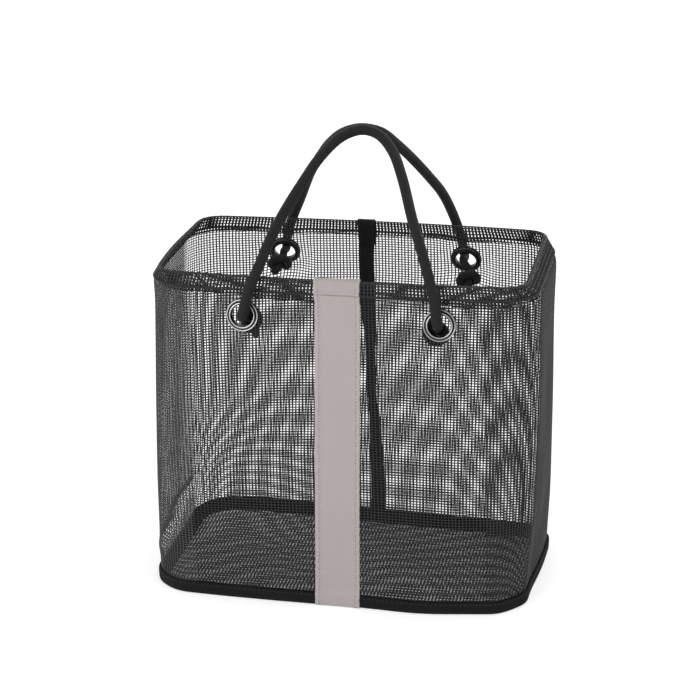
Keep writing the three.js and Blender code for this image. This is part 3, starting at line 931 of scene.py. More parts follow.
@dataclass
class NetBody(SubAssembly):
    """The net wall, the net floor and the folded hem."""

    weave: NetWeave = NetWeave()
    floor_weave: NetWeave = NetWeave(warp_width=0.0013, weft_width=0.00119, thickness=0.0006)
    hem_weave: NetWeave = NetWeave(warp_width=0.0013, weft_width=0.00088, crimp=0.0001)
    first_weft: float = 0.0018  # Height of the wall's lowest weft.
    wall_in_hem: float = 0.0019  # How far the wall reaches up into the hem.
    barrel_gap: float = 0.0087  # Radius of the hole in the net round an eyelet's barrel.
    floor_inset: float = 0.0042  # How far inside the wall's outer face the floor is cut.
    floor_lift: float = 0.0004  # How high the floor's net lies at its edge.
    floor_dome: float = 0.0012  # How much higher it rises at most.
    hem_out: float = 0.0008  # How far out of the wall's face the hem's outer leaf lies.
    hem_in: float = -0.0014  # The same of its inner leaf.
    row_inset: float = 0.0012  # How far over the hem's foot its stitches run.
    row_out: float = 0.00115  # How far out of the wall's face the outer row lies.
    row_in: float = -0.00175  # The same of the inner row.
    slip: float = 0.0008  # How much lower the inner leaf is sewn at the front than at its sides.
    seam_rows: Pair = (-0.0035, 0.0035)  # Where the seam's two rows of stitches lie beside it.
    spread: float = 1.75 * MM  # How far uneven spacing shifts the front's warps.
    stray_wave: float = 0.11  # Height of a wave of a warp's stray.
    rise_softness: float = 0.01  # Reach of the averaging of the rises, in lap shares.
    rise_whole: float = 0.12  # The height from which the wefts rise fully.
    # How far the front's warps, the back's warps and the back's wefts are moved: height and way,
    # in millimetres.
    front_lean: tuple[Pair, ...] = ((0, 3.4), (236, -3.6))
    back_lean: tuple[Pair, ...] = ((0, 0), (50, 0), (190, -4.8), (236, -4.0))
    crowding: tuple[Pair, ...] = ((0, 0), (100, 0), (180, 3), (228, 0))
    # How far the wefts rise round the wall: lap share and millimetres.
    rises: tuple[Pair, ...] = (
        (0, 4.8), (0.038, 4.3), (0.096, 2.4), (0.127, 3.6), (0.16, 4.2), (0.36, 0), (0.424, 1.7),
        (0.487, 2.7), (0.513, 2.5), (0.576, 0.5), (0.64, -3), (0.75, -3), (0.873, -2.6), (0.975, 4.4),
        (1, 4.8),
    )
    # How far down the hem's inner leaf reaches: lap share and millimetres.
    hem_depths: tuple[Pair, ...] = (
        (0, 12.5), (0.03, 11), (0.07, 12), (0.1, 14.5), (0.135, 15.5), (0.17, 12), (0.2, 12.6),
        (0.5, 12.6), (0.8, 12.6), (0.92, 12.6), (0.93, 15.5), (1, 14.5),
    )

    def panels(self) -> list[tuple[str, str, float, float, NetWeave]]:
        """The wall's four panels.

        A weave is given by its warps' pitch and width and its wefts' width.

        Returns:
            The name, finish, lap shares of the start and stop, and weave of each.
        """
        shape = self.shape
        width, depth, corner = shape.plan(shape.middle_height)
        start = float((width / 2 - corner) / shape.girth)
        stop = start + float((depth - 2 * corner + np.pi * corner) / shape.girth)
        return [
            ("net_right_end", "coated_net", start, stop, NetWeave(0.00244, 0.00116, 0.00084)),
            # The back and the left end take the lighter copy of the net: painted light.
            ("net_back", "net_painted_light", stop, 1 - stop, NetWeave(0.0024, 0.00098, 0.00076)),
            ("net_left_end", "net_painted_light", 1 - stop, 1 - start, NetWeave(0.00244, 0.00104, 0.0007)),
            ("net_front", "coated_net", 1 - start, 1 + start, NetWeave(0.00249, 0.00073, 0.00068)),
        ]

    def strained(self, lap: Array, z: Array, stray: float) -> tuple[Array, Array]:
        """Where the cloth's pull moves its crossings.

        The warps lean: at the front as one, and at the back between the base and the eyelets.
        The front's share is cos(pi x lap) squared. At the front they also lie wider apart left
        of the strip than right of it. Each strays from its place as a sine of the height. The
        wefts rise and dip round the bag, which fades out at the base, and lie closer near the
        top of the back.

        Args:
            lap: Lap shares of the crossings at rest, in an array of warps and wefts.
            z: Their heights.
            stray: How far a warp strays from its place, as a root mean square.

        Returns:
            The lap shares and heights.
        """
        front = np.cos(np.pi * lap) ** 2
        front_shift = read_table(z, self.front_lean) + self.spread * np.cos(2 * TURN * lap)
        back_shift = read_table(z, self.back_lean)
        phase = np.random.default_rng(3).uniform(0, TURN, len(lap))[:, None]
        shift = front * front_shift + (1 - front) * back_shift
        shift = shift + stray * math.sqrt(2) * np.sin(TURN * z / self.stray_wave + phase)
        taps = SOFT_TAPS * self.rise_softness
        rise = sum(read_table(np.mod(lap + tap, 1), self.rises, 1) for tap in taps)
        rise = rise / len(taps) * smooth_step(z, 0.0, self.rise_whole)
        rise = rise + (1 - front) * read_table(z, self.crowding)
        return lap + shift / self.shape.girth, z + rise

    def build_wall(self) -> None:
        """Makes the wall's four panels, which meet where the round corners start."""
        top = self.shape.height - self.shape.hem_height + self.wall_in_hem
        rows = np.linspace(self.first_weft, top, int(round(top / self.weave.weft_pitch)))
        spare = top + self.weave.weft_pitch * np.arange(1, 3)
        first = 0
        for name, finish, start, stop, weave in self.panels():
            span = (stop - start) * self.shape.girth
            count = int(round(span / weave.warp_pitch))
            laps = np.linspace(start, stop, count + 1)
            lap, z = np.meshgrid(laps, np.append(rows, spare), indexing="ij")
            lap, z = self.strained(lap, z, weave.stray)
            grid = self.shape.point(lap, z, -self.shape.net_thickness / 2)
            keep = self.clear_of_bores(grid) & (z < top + 0.4 * MM)
            patches = weave.patches(grid, keep, first=first, open_end=False)
            first += count
            self.shop.fixed(name, patches, finish, "mesh_wall")

    def clear_of_bores(self, grid: Array) -> Array:
        """Which crossings lie outside every eyelet's barrel.

        Args:
            grid: Crossings in an array of warp yarns, weft yarns and x, y, z.

        Returns:
            True for each crossing that is kept.
        """
        keep = np.ones(grid.shape[:2], bool)
        for eyelet in self.shape.eyelets:
            far = np.hypot(grid[..., 0] - eyelet.x, grid[..., 2] - self.shape.eyelet_height)
            keep &= (far > self.barrel_gap) | (np.sign(grid[..., 1]) != eyelet.side)
        return keep

    def build_floor(self) -> None:
        """Makes the floor's net, cut to the base plan.

        It rises by a low dome, sin x sin over its width and depth, times a slow ripple.
        """
        shape, edge = self.shape, self.floor_inset
        width, depth, corner = shape.plan(0.0)
        x = np.arange(-width / 2, width / 2, self.weave.warp_pitch)
        y = np.arange(-depth / 2 - shape.belly, depth / 2 + shape.belly, self.weave.weft_pitch)
        x, y = np.meshgrid(x, y, indexing="ij")
        share = np.clip(x / (width / 2 - corner), -1, 1)
        reach_y = depth / 2 + shape.belly * (1 - share * share) - edge
        over_x = np.maximum(np.abs(x) - (width / 2 - edge - corner), 0)
        over_y = np.maximum(np.abs(y) - (reach_y - corner), 0)
        keep = np.hypot(over_x, over_y) < corner
        wide, deep = (np.sin(np.pi * np.clip(far + 0.5, 0, 1)) for far in (x / width, y / depth))
        rise = self.floor_lift + self.floor_dome * (wide * deep) * (0.5 + 0.5 * np.sin(x * 61 + y * 37))
        grid = shape.settled(np.stack([x, y, rise + self.floor_weave.thickness / 2], axis=-1))
        patches = self.floor_weave.patches(grid, keep)
        self.shop.fixed("net_floor", patches, "coated_net", "mesh_floor")

    def hem_line(self) -> tuple[Array, Array]:
        """Rows of the folded hem, from its foot outside over the rim to its foot inside.

        Returns:
            The distance out from the wall and the height of each row.
        """
        shape = self.shape
        foot = shape.height - shape.hem_height
        leaf = foot + np.array([0.4, 1.3, 3.5, 5.7, 7.7, 9.1]) * MM
        deep = foot + 0.3 * MM - self.weave.weft_pitch * np.arange(4, 0, -1)
        inner = np.concatenate([deep, leaf])
        turn = np.array([0.3, 0.7]) * np.pi
        middle, half = (self.hem_out + self.hem_in) / 2, (self.hem_out - self.hem_in) / 2
        fold_out = middle + half * np.cos(turn)
        fold_z = shape.height - 0.0009 + 0.0007 * np.sin(turn)
        distance = [np.full(len(leaf), self.hem_out), fold_out, np.full(len(inner), self.hem_in)]
        return np.concatenate(distance), np.concatenate([leaf, fold_z, inner[::-1]])

    def hem_depth(self, lap: Array) -> Array:
        """How far down the inner leaf reaches, which varies round the rim."""
        return read_table(np.mod(lap, 1), self.hem_depths, 1)

    def build_hem(self) -> None:
        """Makes the hem's folded net and its two rows of stitches.

        The inner leaf is sewn lower at the front and higher at the back, by slip x
        cos(2 pi x lap).
        """
        shape = self.shape
        distance, height = self.hem_line()
        warps = int(round(shape.girth / self.weave.warp_pitch / 2)) * 2
        lap, z = np.meshgrid(np.arange(warps + 1) / warps, height, indexing="ij")
        inner = distance <= distance.min()
        z = z - self.slip * np.cos(TURN * lap) * inner
        grid = shape.point(lap, np.minimum(z, shape.height), distance)
        grid[..., 2] += np.maximum(z - shape.height, 0)
        keep = ~(inner & (z < shape.height - self.hem_depth(lap)))
        patches = self.hem_weave.patches(grid, keep)
        piece = self.shop.fixed("rim_hem_net", patches, "coated_net", "rim_hem")
        stitches = Stitches(length=0.0022, gap=0.0007, width=0.0005)
        level = np.full(len(ONCE_ROUND), shape.height - shape.hem_height + self.row_inset)
        least = shape.height - self.hem_depth(ONCE_ROUND) + MM
        deep = np.minimum(level - self.slip * np.cos(TURN * ONCE_ROUND), least)
        rows = [
            self.stitched(stitches, ONCE_ROUND, z, place, away)
            for z, place, away in ((level, self.row_out, 1.0), (deep, self.row_in, -1.0))
        ]
        thread = self.shop.fixed("rim_hem_stitching", rows, "black_thread")
        shape.lap_length(shape.height)

    def build_seam(self) -> None:
        """Makes the two rows of stitches that hold the wall's seam, outside the back."""
        shape = self.shape
        z = np.linspace(shape.binding_height, shape.height - 0.016, 500)
        rows = [
            self.stitched(Stitches(), 0.5 - (tape_middle(z) + offset) / shape.girth, z, 0.0002, 1.0)
            for offset in self.seam_rows
        ]
        self.shop.fixed("wall_seam_stitching", rows, "black_thread")


@dataclass
class Band:
    """A flat woven band carried along a line in the Y-Z plane."""

    line: Array  # Points of the middle of its thickness, as y and z.
    middle: Array  # Its distance from the middle plane at each point.
    width: Array  # Its width at each point.
    thickness: float = 0.0009
    hem: float = 0.0  # Width of its folded edges, 0 for a plain band.
    hem_rise: float = 0.0  # How much thicker it is there.
    pucker: float = 0.0  # How far the stitching draws its edges in and out.
    pucker_pitch: float = 0.006
    columns: int = 24

    def normals(self) -> Array:
        """The direction square to the line at each of its points."""
        heading = unit(np.gradient(self.line, axis=0))
        return np.stack([-heading[:, 1], heading[:, 0]], axis=1)

    def patch(self) -> Patch:
        """The band's closed surface.

        Its section runs from edge to edge on one side and back on the other. At a share s
        from -1 to 1 of the width its half thickness is thickness / 2, falls away as a quarter
        round within half a thickness of the edge, and swells by hem_rise over the hem.

        Returns:
            The surface, with UVs in metres across and along.
        """
        normal = self.normals()
        at = lengths_along(self.line)
        share = np.sin(np.linspace(-1, 1, self.columns) * np.pi / 2)
        half = self.width[:, None] / 2
        place = share[None] * half
        inset = half - np.abs(place)
        round_off = np.clip(inset / (self.thickness / 2), 0, 1)
        lift = self.thickness / 2 * np.sqrt(np.maximum(1 - (1 - round_off) ** 2, 0.04))
        if self.hem:
            lift = lift + self.hem_rise * smooth_step(-inset, -self.hem, -self.hem * 0.8) * round_off
        phase = TURN * at[:, None] / self.pucker_pitch
        drawn = np.clip(1 - inset / (2 * max(self.hem, self.thickness)), 0, 1)
        wave = self.pucker * drawn * (np.sin(phase + np.sign(place)) + 0.5 * np.sin(2.7 * phase + 2))
        x = self.middle[:, None] + (place + np.sign(place) * wave * 0.6 * drawn)
        front, back = (
            np.stack([x, *(self.line[:, k, None] + off * normal[:, k, None] for k in (0, 1))], axis=-1)
            for off in (lift + wave, -lift + wave)
        )
        wide = share * float(self.width.mean()) / 2
        across = np.concatenate([wide, wide[::-1], wide[:1]])
        return loft(np.concatenate([front, back[:, ::-1]], axis=1)[None], across=across, along=at)

    def stitched(self, stitches: Stitches, inset: float, side: float) -> list[Patch]:
        """Stitches along both edges of the band.

        Args:
            stitches: The stitches.
            inset: Distance in from the edge.
            side: 1 for one face and -1 for the other.

        Returns:
            The left and the right row.
        """
        normal = self.normals() * side
        spot = self.line + normal * (self.thickness / 2 + self.hem_rise)
        out = np.column_stack([np.zeros(len(spot)), normal])
        return [
            stitches.patch(np.column_stack([self.middle + edge * (self.width / 2 - inset), spot]), out)
            for edge in (-1, 1)
        ]


@dataclass
class CentreStrip(SubAssembly):
    """The broad canvas strip up the middle of the front."""

    inside_lap: float = 0.015  # How far it reaches down inside the rim.
    foot: float = 0.0006  # Height of its lower end.
    inner: float = 0.00255  # How far inside the wall's face it lies there.
    hem: float = 0.00195  # How far out it lies over the hem.
    flat: float = 0.00075  # How far out it lies on the wall.
    bound: float = 0.00205  # How far out it lies over the binding.
    crease_height: float = 0.2272  # Where it is folded under the hem.
    crease_depth: float = 0.0014
    crease_reach: float = 0.0005
    crease_step: float = 0.0004  # How much further out it stands above the crease.
    crease_ease: float = 0.0004  # How far under and over the crease that step starts and stops.
    stitch_inset: float = 0.0029  # How far in from its edges it is stitched.
    # Height, place of its middle and width up the strip, in millimetres.
    run: tuple[Triple, ...] = (
        (3, 0.1, 31.6), (60, 0.5, 31.2), (117, 0.85, 31.2), (200, 1.5, 31.2), (222, 1.4, 30.8),
        (230, 0.6, 31.2), (237, 0.2, 31.6),
    )

    def line(self) -> Array:
        """The strip's line: up inside the hem, over it and down the front to the ground.

        Returns:
            The y and z of its points.
        """
        shape = self.shape
        top = shape.height + 0.0008
        foot_of_hem = shape.height - shape.hem_height
        offsets = [
            (-self.inner, shape.height - self.inside_lap), (-self.inner, top - 0.001), (-0.0019, top),
            (0.0013, top), (self.hem, top - 0.001), (self.hem, foot_of_hem + 0.001),
            (self.flat, foot_of_hem - 0.0025),
            *((self.flat, z) for z in (0.19, 0.15, 0.11, 0.07, 0.03, shape.binding_height + 0.003)),
            (self.bound, shape.binding_height), (self.bound, 0.002), (self.bound - 0.0003, self.foot),
        ]
        line = [(-(shape.panel_face(0.0, min(z, shape.height)) + out), z) for out, z in offsets]
        return respaced(np.array(line), 0.0005, 0.0016)

    def build(self) -> None:
        """Makes the strip with its crease at the hem, and its edge stitching.

        The crease presses it in by crease_depth x exp(-((z - crease_height) / crease_reach)
        squared), and above it the strip stands crease_step further out.
        """
        shape = self.shape
        line = self.line()
        z = line[:, 1]
        heights, middles, widths = np.array(self.run).T * MM
        middle, width = np.interp(z, heights, middles), np.interp(z, heights, widths)
        outside = line[:, 0] < -shape.panel_face(0, 0.22)
        crease = np.exp(-(((z - self.crease_height) / self.crease_reach) ** 2))
        ease = self.crease_ease
        above = smooth_step(z, self.crease_height - ease, self.crease_height + ease)
        line[:, 0] += outside * (self.crease_depth * crease - self.crease_step * above)
        band = Band(
            line, middle, width, hem=0.0045, hem_rise=0.00022, pucker=0.00016,
            pucker_pitch=0.0062, columns=46,
        )
        cloth = [shape.follow(band.patch())]
        piece = self.shop.fixed("centre_strip", cloth, "strip_canvas", "front_strip")
        stitches = Stitches(length=0.0017, gap=0.0009, width=0.0006, height=0.00022)
        rows = [shape.follow(row) for row in band.stitched(stitches, self.stitch_inset, -1.0)]
        thread = self.shop.fixed("strip_stitching", rows, "strip_thread")


@dataclass
class SeamTape(SubAssembly):
    """The black tape over the wall's seam, inside the back, and its end over the rim."""

    end_width: float = 0.0128
    # Height and width up the tape, which is narrow where it is folded on itself, in millimetres.
    widths: tuple[Pair, ...] = (
        (0, 10.6), (18, 10.4), (80, 8.6), (92, 6.8), (100, 6.4), (138, 6.4), (148, 8.5), (165, 11),
        (205, 11.4), (236, 12),
    )

    def place(self, offsets: Sequence[Pair], softness: float) -> Array:
        """A line in the Y-Z plane, up or down the back.

        Args:
            offsets: The distance out of the back's outer face and the height of each point.
            softness: How far its corners are rounded.

        Returns:
            The y and z of its points.
        """
        shape = self.shape
        x = abs(float(tape_middle(shape.middle_height)))
        line = [(shape.panel_face(x, min(z, shape.height)) + out, z) for out, z in offsets]
        return respaced(np.array(line), 0.001, softness)

    def build(self) -> None:
        """Makes the long tape, its looped end and their stitches."""
        shape, shop = self.shape, self.shop
        top = shape.height + 0.0004
        run = self.place(
            [(-0.0027, top - 0.001), (-0.0027, shape.height - shape.hem_height)]
            + [(-0.0015, z) for z in (0.222, 0.19, 0.15, 0.11, 0.07, 0.03)]
            + [(-0.0022, shape.binding_height + 0.0008)],
            0.003,
        )
        loop = self.place(
            [
                (0.00195, shape.height - 0.014), (0.00195, top - 0.0008), (0.0012, top + 0.0005),
                (-0.0024, top + 0.0005), (-0.0036, top - 0.001), (-0.0037, 0.218),
            ],
            0.0016,
        )
        z = run[:, 1]
        middle = read_table(loop[:, 1], ((218, -5.8), (236, -6.2)))
        long = Band(run, tape_middle(z), read_table(z, self.widths), pucker=0.00008)
        end = Band(loop, middle, np.full(len(loop), self.end_width), pucker=0.00006)
        piece = shop.fixed("seam_tape", [long.patch()], "seam_tape", "back_seam_tape")
        tab = shop.fixed("seam_tape_end", [end.patch()], "seam_tape")
        stitches = Stitches(width=0.0004, height=0.0002)
        rows = long.stitched(stitches, 0.0016, -1.0)
        for side in (1.0, -1.0):
            rows += end.stitched(stitches, 0.0018, side)
        thread = shop.fixed("seam_tape_stitching", rows, "black_thread")


@dataclass
class BaseBinding(SubAssembly):
    """The ribbed tape bound round the base seam."""

    rib_pitch: float = 0.0017
    rib_height: float = 0.00026
    waver: float = 0.00025
    middle: float = -0.0003  # Distance out from the wall of the middle between its faces.
    ribbed_from: float = 0.0008  # How far from that middle its faces are ribbed.
    row_inset: float = 0.0016  # How far under its upper edges its stitches run.
    row_out: float = 0.00155  # How far out of the wall's face the outer row lies.
    row_in: float = -0.0021  # The same of the inner row.
    # Its closed section as distance out from the wall and height, in millimetres.
    section: tuple[Pair, ...] = (
        (0.35, 8.2), (0.42, 8.9), (0.85, 9.1), (1.3, 8.7), (1.45, 7), (1.5, 5), (1.5, 3),
        (1.42, 1.4), (1.05, 0.4), (0.3, 0.02), (-0.8, 0.0), (-3, 0.03), (-5.2, 0.1), (-5.6, 0.5),
        (-5.3, 1.3), (-3.6, 1.8), (-2.5, 2.7), (-2.15, 4), (-2.05, 6.5), (-1.95, 8.5), (-1.6, 9.05),
        (-1.1, 9.0), (-0.95, 8.3), (-0.9, 5), (-0.9, 1.6), (-0.7, 1.1), (0.1, 1.1), (0.3, 1.6), (0.3, 5),
    )

    def build(self) -> None:
        """Makes the binding and the stitches along its upper edges.

        A rib lifts the outer and inner face by rib_height x |sin| of the way round.
        """
        shape = self.shape
        section = np.array(self.section) * MM
        lap_length = shape.lap_length(0.005)
        stations = int(round(lap_length / self.rib_pitch)) * 4
        lap = np.arange(stations) / stations
        rib = self.rib_height * np.abs(np.sin(lap * stations / 4 * np.pi))
        turn = TURN * lap
        waver = self.waver * (np.sin(9 * turn) + np.sin(23 * turn + 1) + 0.6 * np.sin(51 * turn + 2))
        face = section[:, 0] - self.middle
        out = section[:, 0] + rib[:, None] * np.sign(face) * (np.abs(face) > self.ribbed_from)
        z = section[:, 1] + waver[:, None] * (section[:, 1] / shape.binding_height)
        points = shape.point(np.broadcast_to(lap[:, None], out.shape), np.maximum(z, 0), out)
        patch = loft(
            points[None], closed=True, across=np.append(lengths_along(section), 0.0),
            along=np.linspace(0, lap_length, stations + 1),
        )
        piece = self.shop.fixed("base_binding_tape", [patch], "binding_tape", "base_binding")
        level = np.full(len(ONCE_ROUND), shape.binding_height - self.row_inset)
        stitches = Stitches(width=0.00042, height=0.0002)
        rows = [
            self.stitched(stitches, ONCE_ROUND, level, place, away)
            for place, away in ((self.row_out, 1.0), (self.row_in, -1.0))
        ]
        thread = self.shop.fixed("binding_stitching", rows, "black_thread")


@dataclass
class Hardware(SubAssembly):
    """The turned eyelets and the washers inside them."""

    flange: float = 0.0112
    steps: int = 72

    def eyelet_profile(self) -> Array:
        """The eyelet's closed section: radius and distance out from the wall.

        The inner lip is rolled, a groove runs round it, and the rim turns down to the net.

        Returns:
            The two measures of each corner.
        """
        turn = np.linspace(np.pi, 0, 9)
        lip = np.column_stack([8.45 + 0.95 * np.cos(turn), 1.0 + 0.9 * np.sin(turn)])
        rim = np.column_stack([10.55 + 0.65 * np.cos(turn[:7]), 0.75 + 0.45 * np.sin(turn[:7])])
        curl = np.column_stack([8.4 - 0.9 * np.cos(turn[::-1]), -2.15 - 0.55 * np.sin(turn)])
        groove, edge = [(9.45, 0.75), (9.7, 0.62)], [(11.2, 0.45), (11.1, 0.3)]
        barrel = [(8.2, 0.3), (8.1, 0.2), (8.1, -2.0)]
        return np.vstack([(7.5, -2.1), lip, groove, rim, edge, barrel, curl[::-1][1:-1]]) * MM

    def washer_profile(self) -> Array:
        """The washer's closed section, with softened edges.

        Returns:
            The radius and distance out from the wall of each corner.
        """
        outline = [
            (8.45, -1.9), (8.6, -2.0), (10.9, -2.0), (11.2, -1.75), (11.2, -1.4), (11.0, -1.2),
            (8.6, -1.2), (8.45, -1.35),
        ]
        return np.array(outline) * MM

    def eyelet_frame(self, eyelet: Eyelet) -> tuple[Array, Array, Array]:
        """Where an eyelet sits and how it leans.

        Args:
            eyelet: The eyelet.

        Returns:
            Its centre on the wall, its way out and its way across.
        """
        shape = self.shape
        left, middle, right = (
            shape.panel_face(eyelet.x + step * self.flange, shape.eyelet_height) for step in (-1, 0, 1)
        )
        level = unit(np.array([left - right, eyelet.side * 2 * self.flange, 0.0]))
        across = np.array([level[1], -level[0], 0.0])
        tilt = math.radians(eyelet.tilt)
        out = level * math.cos(tilt) + np.array([0.0, 0.0, math.sin(tilt)])
        reach = max(middle, (left + right) / 2) - eyelet.pull_in
        return np.array([eyelet.x, eyelet.side * reach, shape.eyelet_height]), out, across

    def turned(self, profile: Array, eyelet: Eyelet) -> Patch:
        """A profile turned about the eyelet's axis.

        The first UV value is the share of painted highlight, from the height over the
        flange: 1 on the crests of the lip and the rim.

        Args:
            profile: Radius and distance out of each corner of the closed section.
            eyelet: The eyelet.

        Returns:
            The turned surface.
        """
        centre, out, across = self.eyelet_frame(eyelet)
        up = np.cross(across, out)
        angle = TURN * np.arange(self.steps) / self.steps
        spoke = np.cos(angle)[:, None] * across + np.sin(angle)[:, None] * up
        points = centre + profile[None, :, :1] * spoke[:, None] + profile[None, :, 1:] * out
        # Painted highlight on the crests of the lip and the rim, and none in the barrel.
        lip = smooth_step(profile[:, 1], 0.00155, 0.0019)
        rim = smooth_step(profile[:, 1], 0.0009, 0.0012) * (profile[:, 0] > 0.0098)
        painted_highlight = np.maximum(lip, rim)
        return loft(points[None], closed=True, across=np.append(painted_highlight, painted_highlight[0]))

    def build(self) -> None:
        """Makes an eyelet and a washer at each place."""
        kinds = (
            ("eyelet", self.eyelet_profile(), "dark_nickel"),
            ("washer", self.washer_profile(), "black_lacquer"),
        )
        for eyelet in self.shape.eyelets:
            for kind, profile, finish in kinds:
                ring = [self.turned(profile, eyelet)]
                self.shop.fixed(f"{kind}_{eyelet.name}", ring, finish, f"{eyelet.name}_{kind}")


@dataclass(frozen=True)
class KnotShape:
    """A tight overhand knot as waves along its cord, in strand pitches.

    At a share s from -1 to 1 the place across the knot is a sum of cosines of k pi s, the
    places to its side and along its pull are sums of sines, and the last also runs straight.
    """

    across: tuple[float, ...] = (0.04, 0.37, 0.77, 0.08, -0.15)
    sideways: tuple[float, ...] = (-0.28, -0.68, -0.22, 0.14, -0.03)
    pull: tuple[float, ...] = (-1.88, -0.2, -0.03, 0.08)
    reach: float = 2.03  # How far it runs straight along its pull.
    used: float = 0.9  # The share at which it ends.
    pitch: float = 0.0059
    tail_tilt: float = 65.0  # Degrees below the level at which the tail hangs.
    points: int = 96

    def line(self) -> Array:
        """The knot's line in strand pitches.

        Returns:
            Its points, with one column for each direction.
        """
        share = np.linspace(-self.used, self.used, self.points + 1)
        turn = np.pi * share[:, None]
        across = np.cos(turn * np.arange(len(self.across))) @ np.array(self.across)
        sideways, pull = (
            np.sin(turn * (1 + np.arange(len(waves)))) @ np.array(waves)
            for waves in (self.sideways, self.pull)
        )
        return np.column_stack([across, sideways, pull + self.reach * share])


@dataclass
class CordHandle(SubAssembly):
    """One round braided cord from knot to knot, up through two eyelets.

    Its route between them is given as x in millimetres, the share of the way from the middle
    plane out to the hinge line, and the height over the eyelets in millimetres.
    """

    name: str
    left: Eyelet
    right: Eyelet
    route: list[list[float]]
    diameter: float = 0.0072
    knot_diameter: float = 0.0056
    knot_length: float = 0.09  # How far from an end the cord is drawn tight.
    corners: int = 36
    strands: int = 12
    braid_height: float = 0.00011
    bore_run_in: float = 0.0026  # How far inside the wall's net it starts to bend to its knot.
    bore_run_out: float = 0.0045  # How far out of there the arch takes over from the bend.
    spacing: float = 0.0008  # Distance between the points of its line.
    softness: float = 0.002  # How far the line's bends are rounded.
    loosening: Pair = (0.015, 0.005)  # How far past and before the tight length it eases.
    knot: KnotShape = KnotShape()
    # Where it starts and stops to bend as it swings: out from the hinge line and up.
    bend_from: Pair = (-0.0045, -0.004)
    bend_to: Pair = (0.0005, 0.0075)

    def inwards(self, eyelet: Eyelet, tilt: float) -> Array:
        """A unit vector into the bag, tilt degrees below the level."""
        angle = math.radians(tilt)
        return np.array([0.0, -eyelet.side * math.cos(angle), -math.sin(angle)])

    def knot_line(self, eyelet: Eyelet) -> Array:
        """The knotted end of the cord.

        Args:
            eyelet: The eyelet that it comes in through.

        Returns:
            Its points, from inside the bore to its tail.
        """
        shape, knot = self.shape, self.knot
        face = shape.panel_face(eyelet.x, shape.eyelet_height) - shape.net_thickness
        pull = self.inwards(eyelet, eyelet.pull_tilt)
        twist = math.radians(eyelet.twist)
        level = np.array([1.0, 0.0, 0.0])
        across = level * math.cos(twist) + np.cross(pull, level) * math.sin(twist)
        axes = np.stack([across, np.cross(pull, across), pull])
        sway, depth, drop = np.array([eyelet.sway, eyelet.depth, eyelet.drop]) * self.diameter
        centre = np.array([eyelet.x + sway, eyelet.side * (face - depth), shape.eyelet_height - drop])
        line = centre + knot.line() @ axes * knot.pitch
        run_in = self.outside(eyelet)
        run_in[1] = eyelet.side * (face - self.bore_run_in)
        steps = 8
        start = catmull_rom(np.vstack([self.outside(eyelet), run_in, line[0], line[4]]), steps)
        bend = start[np.abs(start[:, 1]) <= abs(run_in[1]) + self.bore_run_out]
        tail = self.inwards(eyelet, knot.tail_tilt)
        tail[0] = math.tan(math.radians(eyelet.tail_lean))
        tail = unit(tail) * eyelet.tail * self.diameter
        end = line[-1] + tail * np.linspace(0.1, 1, 6)[:, None]
        return np.vstack([bend[: -steps - 1], line, end])

    def outside(self, eyelet: Eyelet) -> Array:
        """The point in front of an eyelet where the cord turns upwards."""
        shape = self.shape
        x = eyelet.x + eyelet.off_centre
        return np.array([x, eyelet.side * shape.hinge_distance, shape.eyelet_height])

    def centreline(self) -> Array:
        """The whole cord's line.

        Returns:
            Its points, from the left knot's tail to the right one's.
        """
        x, share, rise = np.array(self.route).T
        out = self.left.side * share * self.shape.hinge_distance
        middle = np.column_stack([x * MM, out, rise * MM + self.shape.eyelet_height])
        arch = catmull_rom(np.vstack([self.outside(self.left), middle, self.outside(self.right)]), 12)
        whole = np.vstack([self.knot_line(self.left)[::-1], arch, self.knot_line(self.right)])
        gaps = np.linalg.norm(np.diff(whole, axis=0), axis=1)
        whole = whole[np.concatenate([[True], gaps > 1e-5])]
        return respaced(whole, self.spacing, self.softness)

    def build(self) -> None:
        """Makes the cord, from knot to knot through the eyelets.

        The braid stands out by braid_height x |cos a cos b|, where a and b are the two
        spirals round the cord, and both ends are rounded.
        """
        path = self.centreline()
        at = lengths_along(path)
        from_end = np.minimum(at, at[-1] - at)
        past, before = self.loosening
        tight = smooth_step(-from_end, -self.knot_length - past, -self.knot_length + before)
        radius = (self.diameter + (self.knot_diameter - self.diameter) * tight) / 2
        nose = np.clip(from_end / radius, 0, 1)
        radius = (radius * np.sqrt(np.maximum(1 - (1 - nose) ** 2, 0.05)))[:, None]
        angle = TURN * np.arange(self.corners) / self.corners
        lead = self.diameter * np.pi / self.strands
        spiral = at[:, None] / (2 * lead) * np.pi
        around = angle[None] * self.strands / 2
        weave = np.abs(np.cos(around + spiral) * np.cos(around - spiral))
        swell = 1 + (weave - 0.5) * self.braid_height / radius
        side, lift = carried_frames(path)
        sections = ring_sections(
            path[None], (side * radius)[None], (lift * radius)[None], self.corners, swell[None]
        )
        across = np.linspace(0, self.diameter * np.pi, self.corners + 1)
        patch = loft(sections, across=across, along=at)
        piece = self.shop.make(f"cord_{self.name}", [patch], "cord_braid")
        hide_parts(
            f"{self.name}_handle_cord", f"{self.left.name}_knot", f"{self.right.name}_knot"
        )
        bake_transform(piece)
        LOG.info("cord_%s is %.1f mm long", self.name, at[-1] / MM)


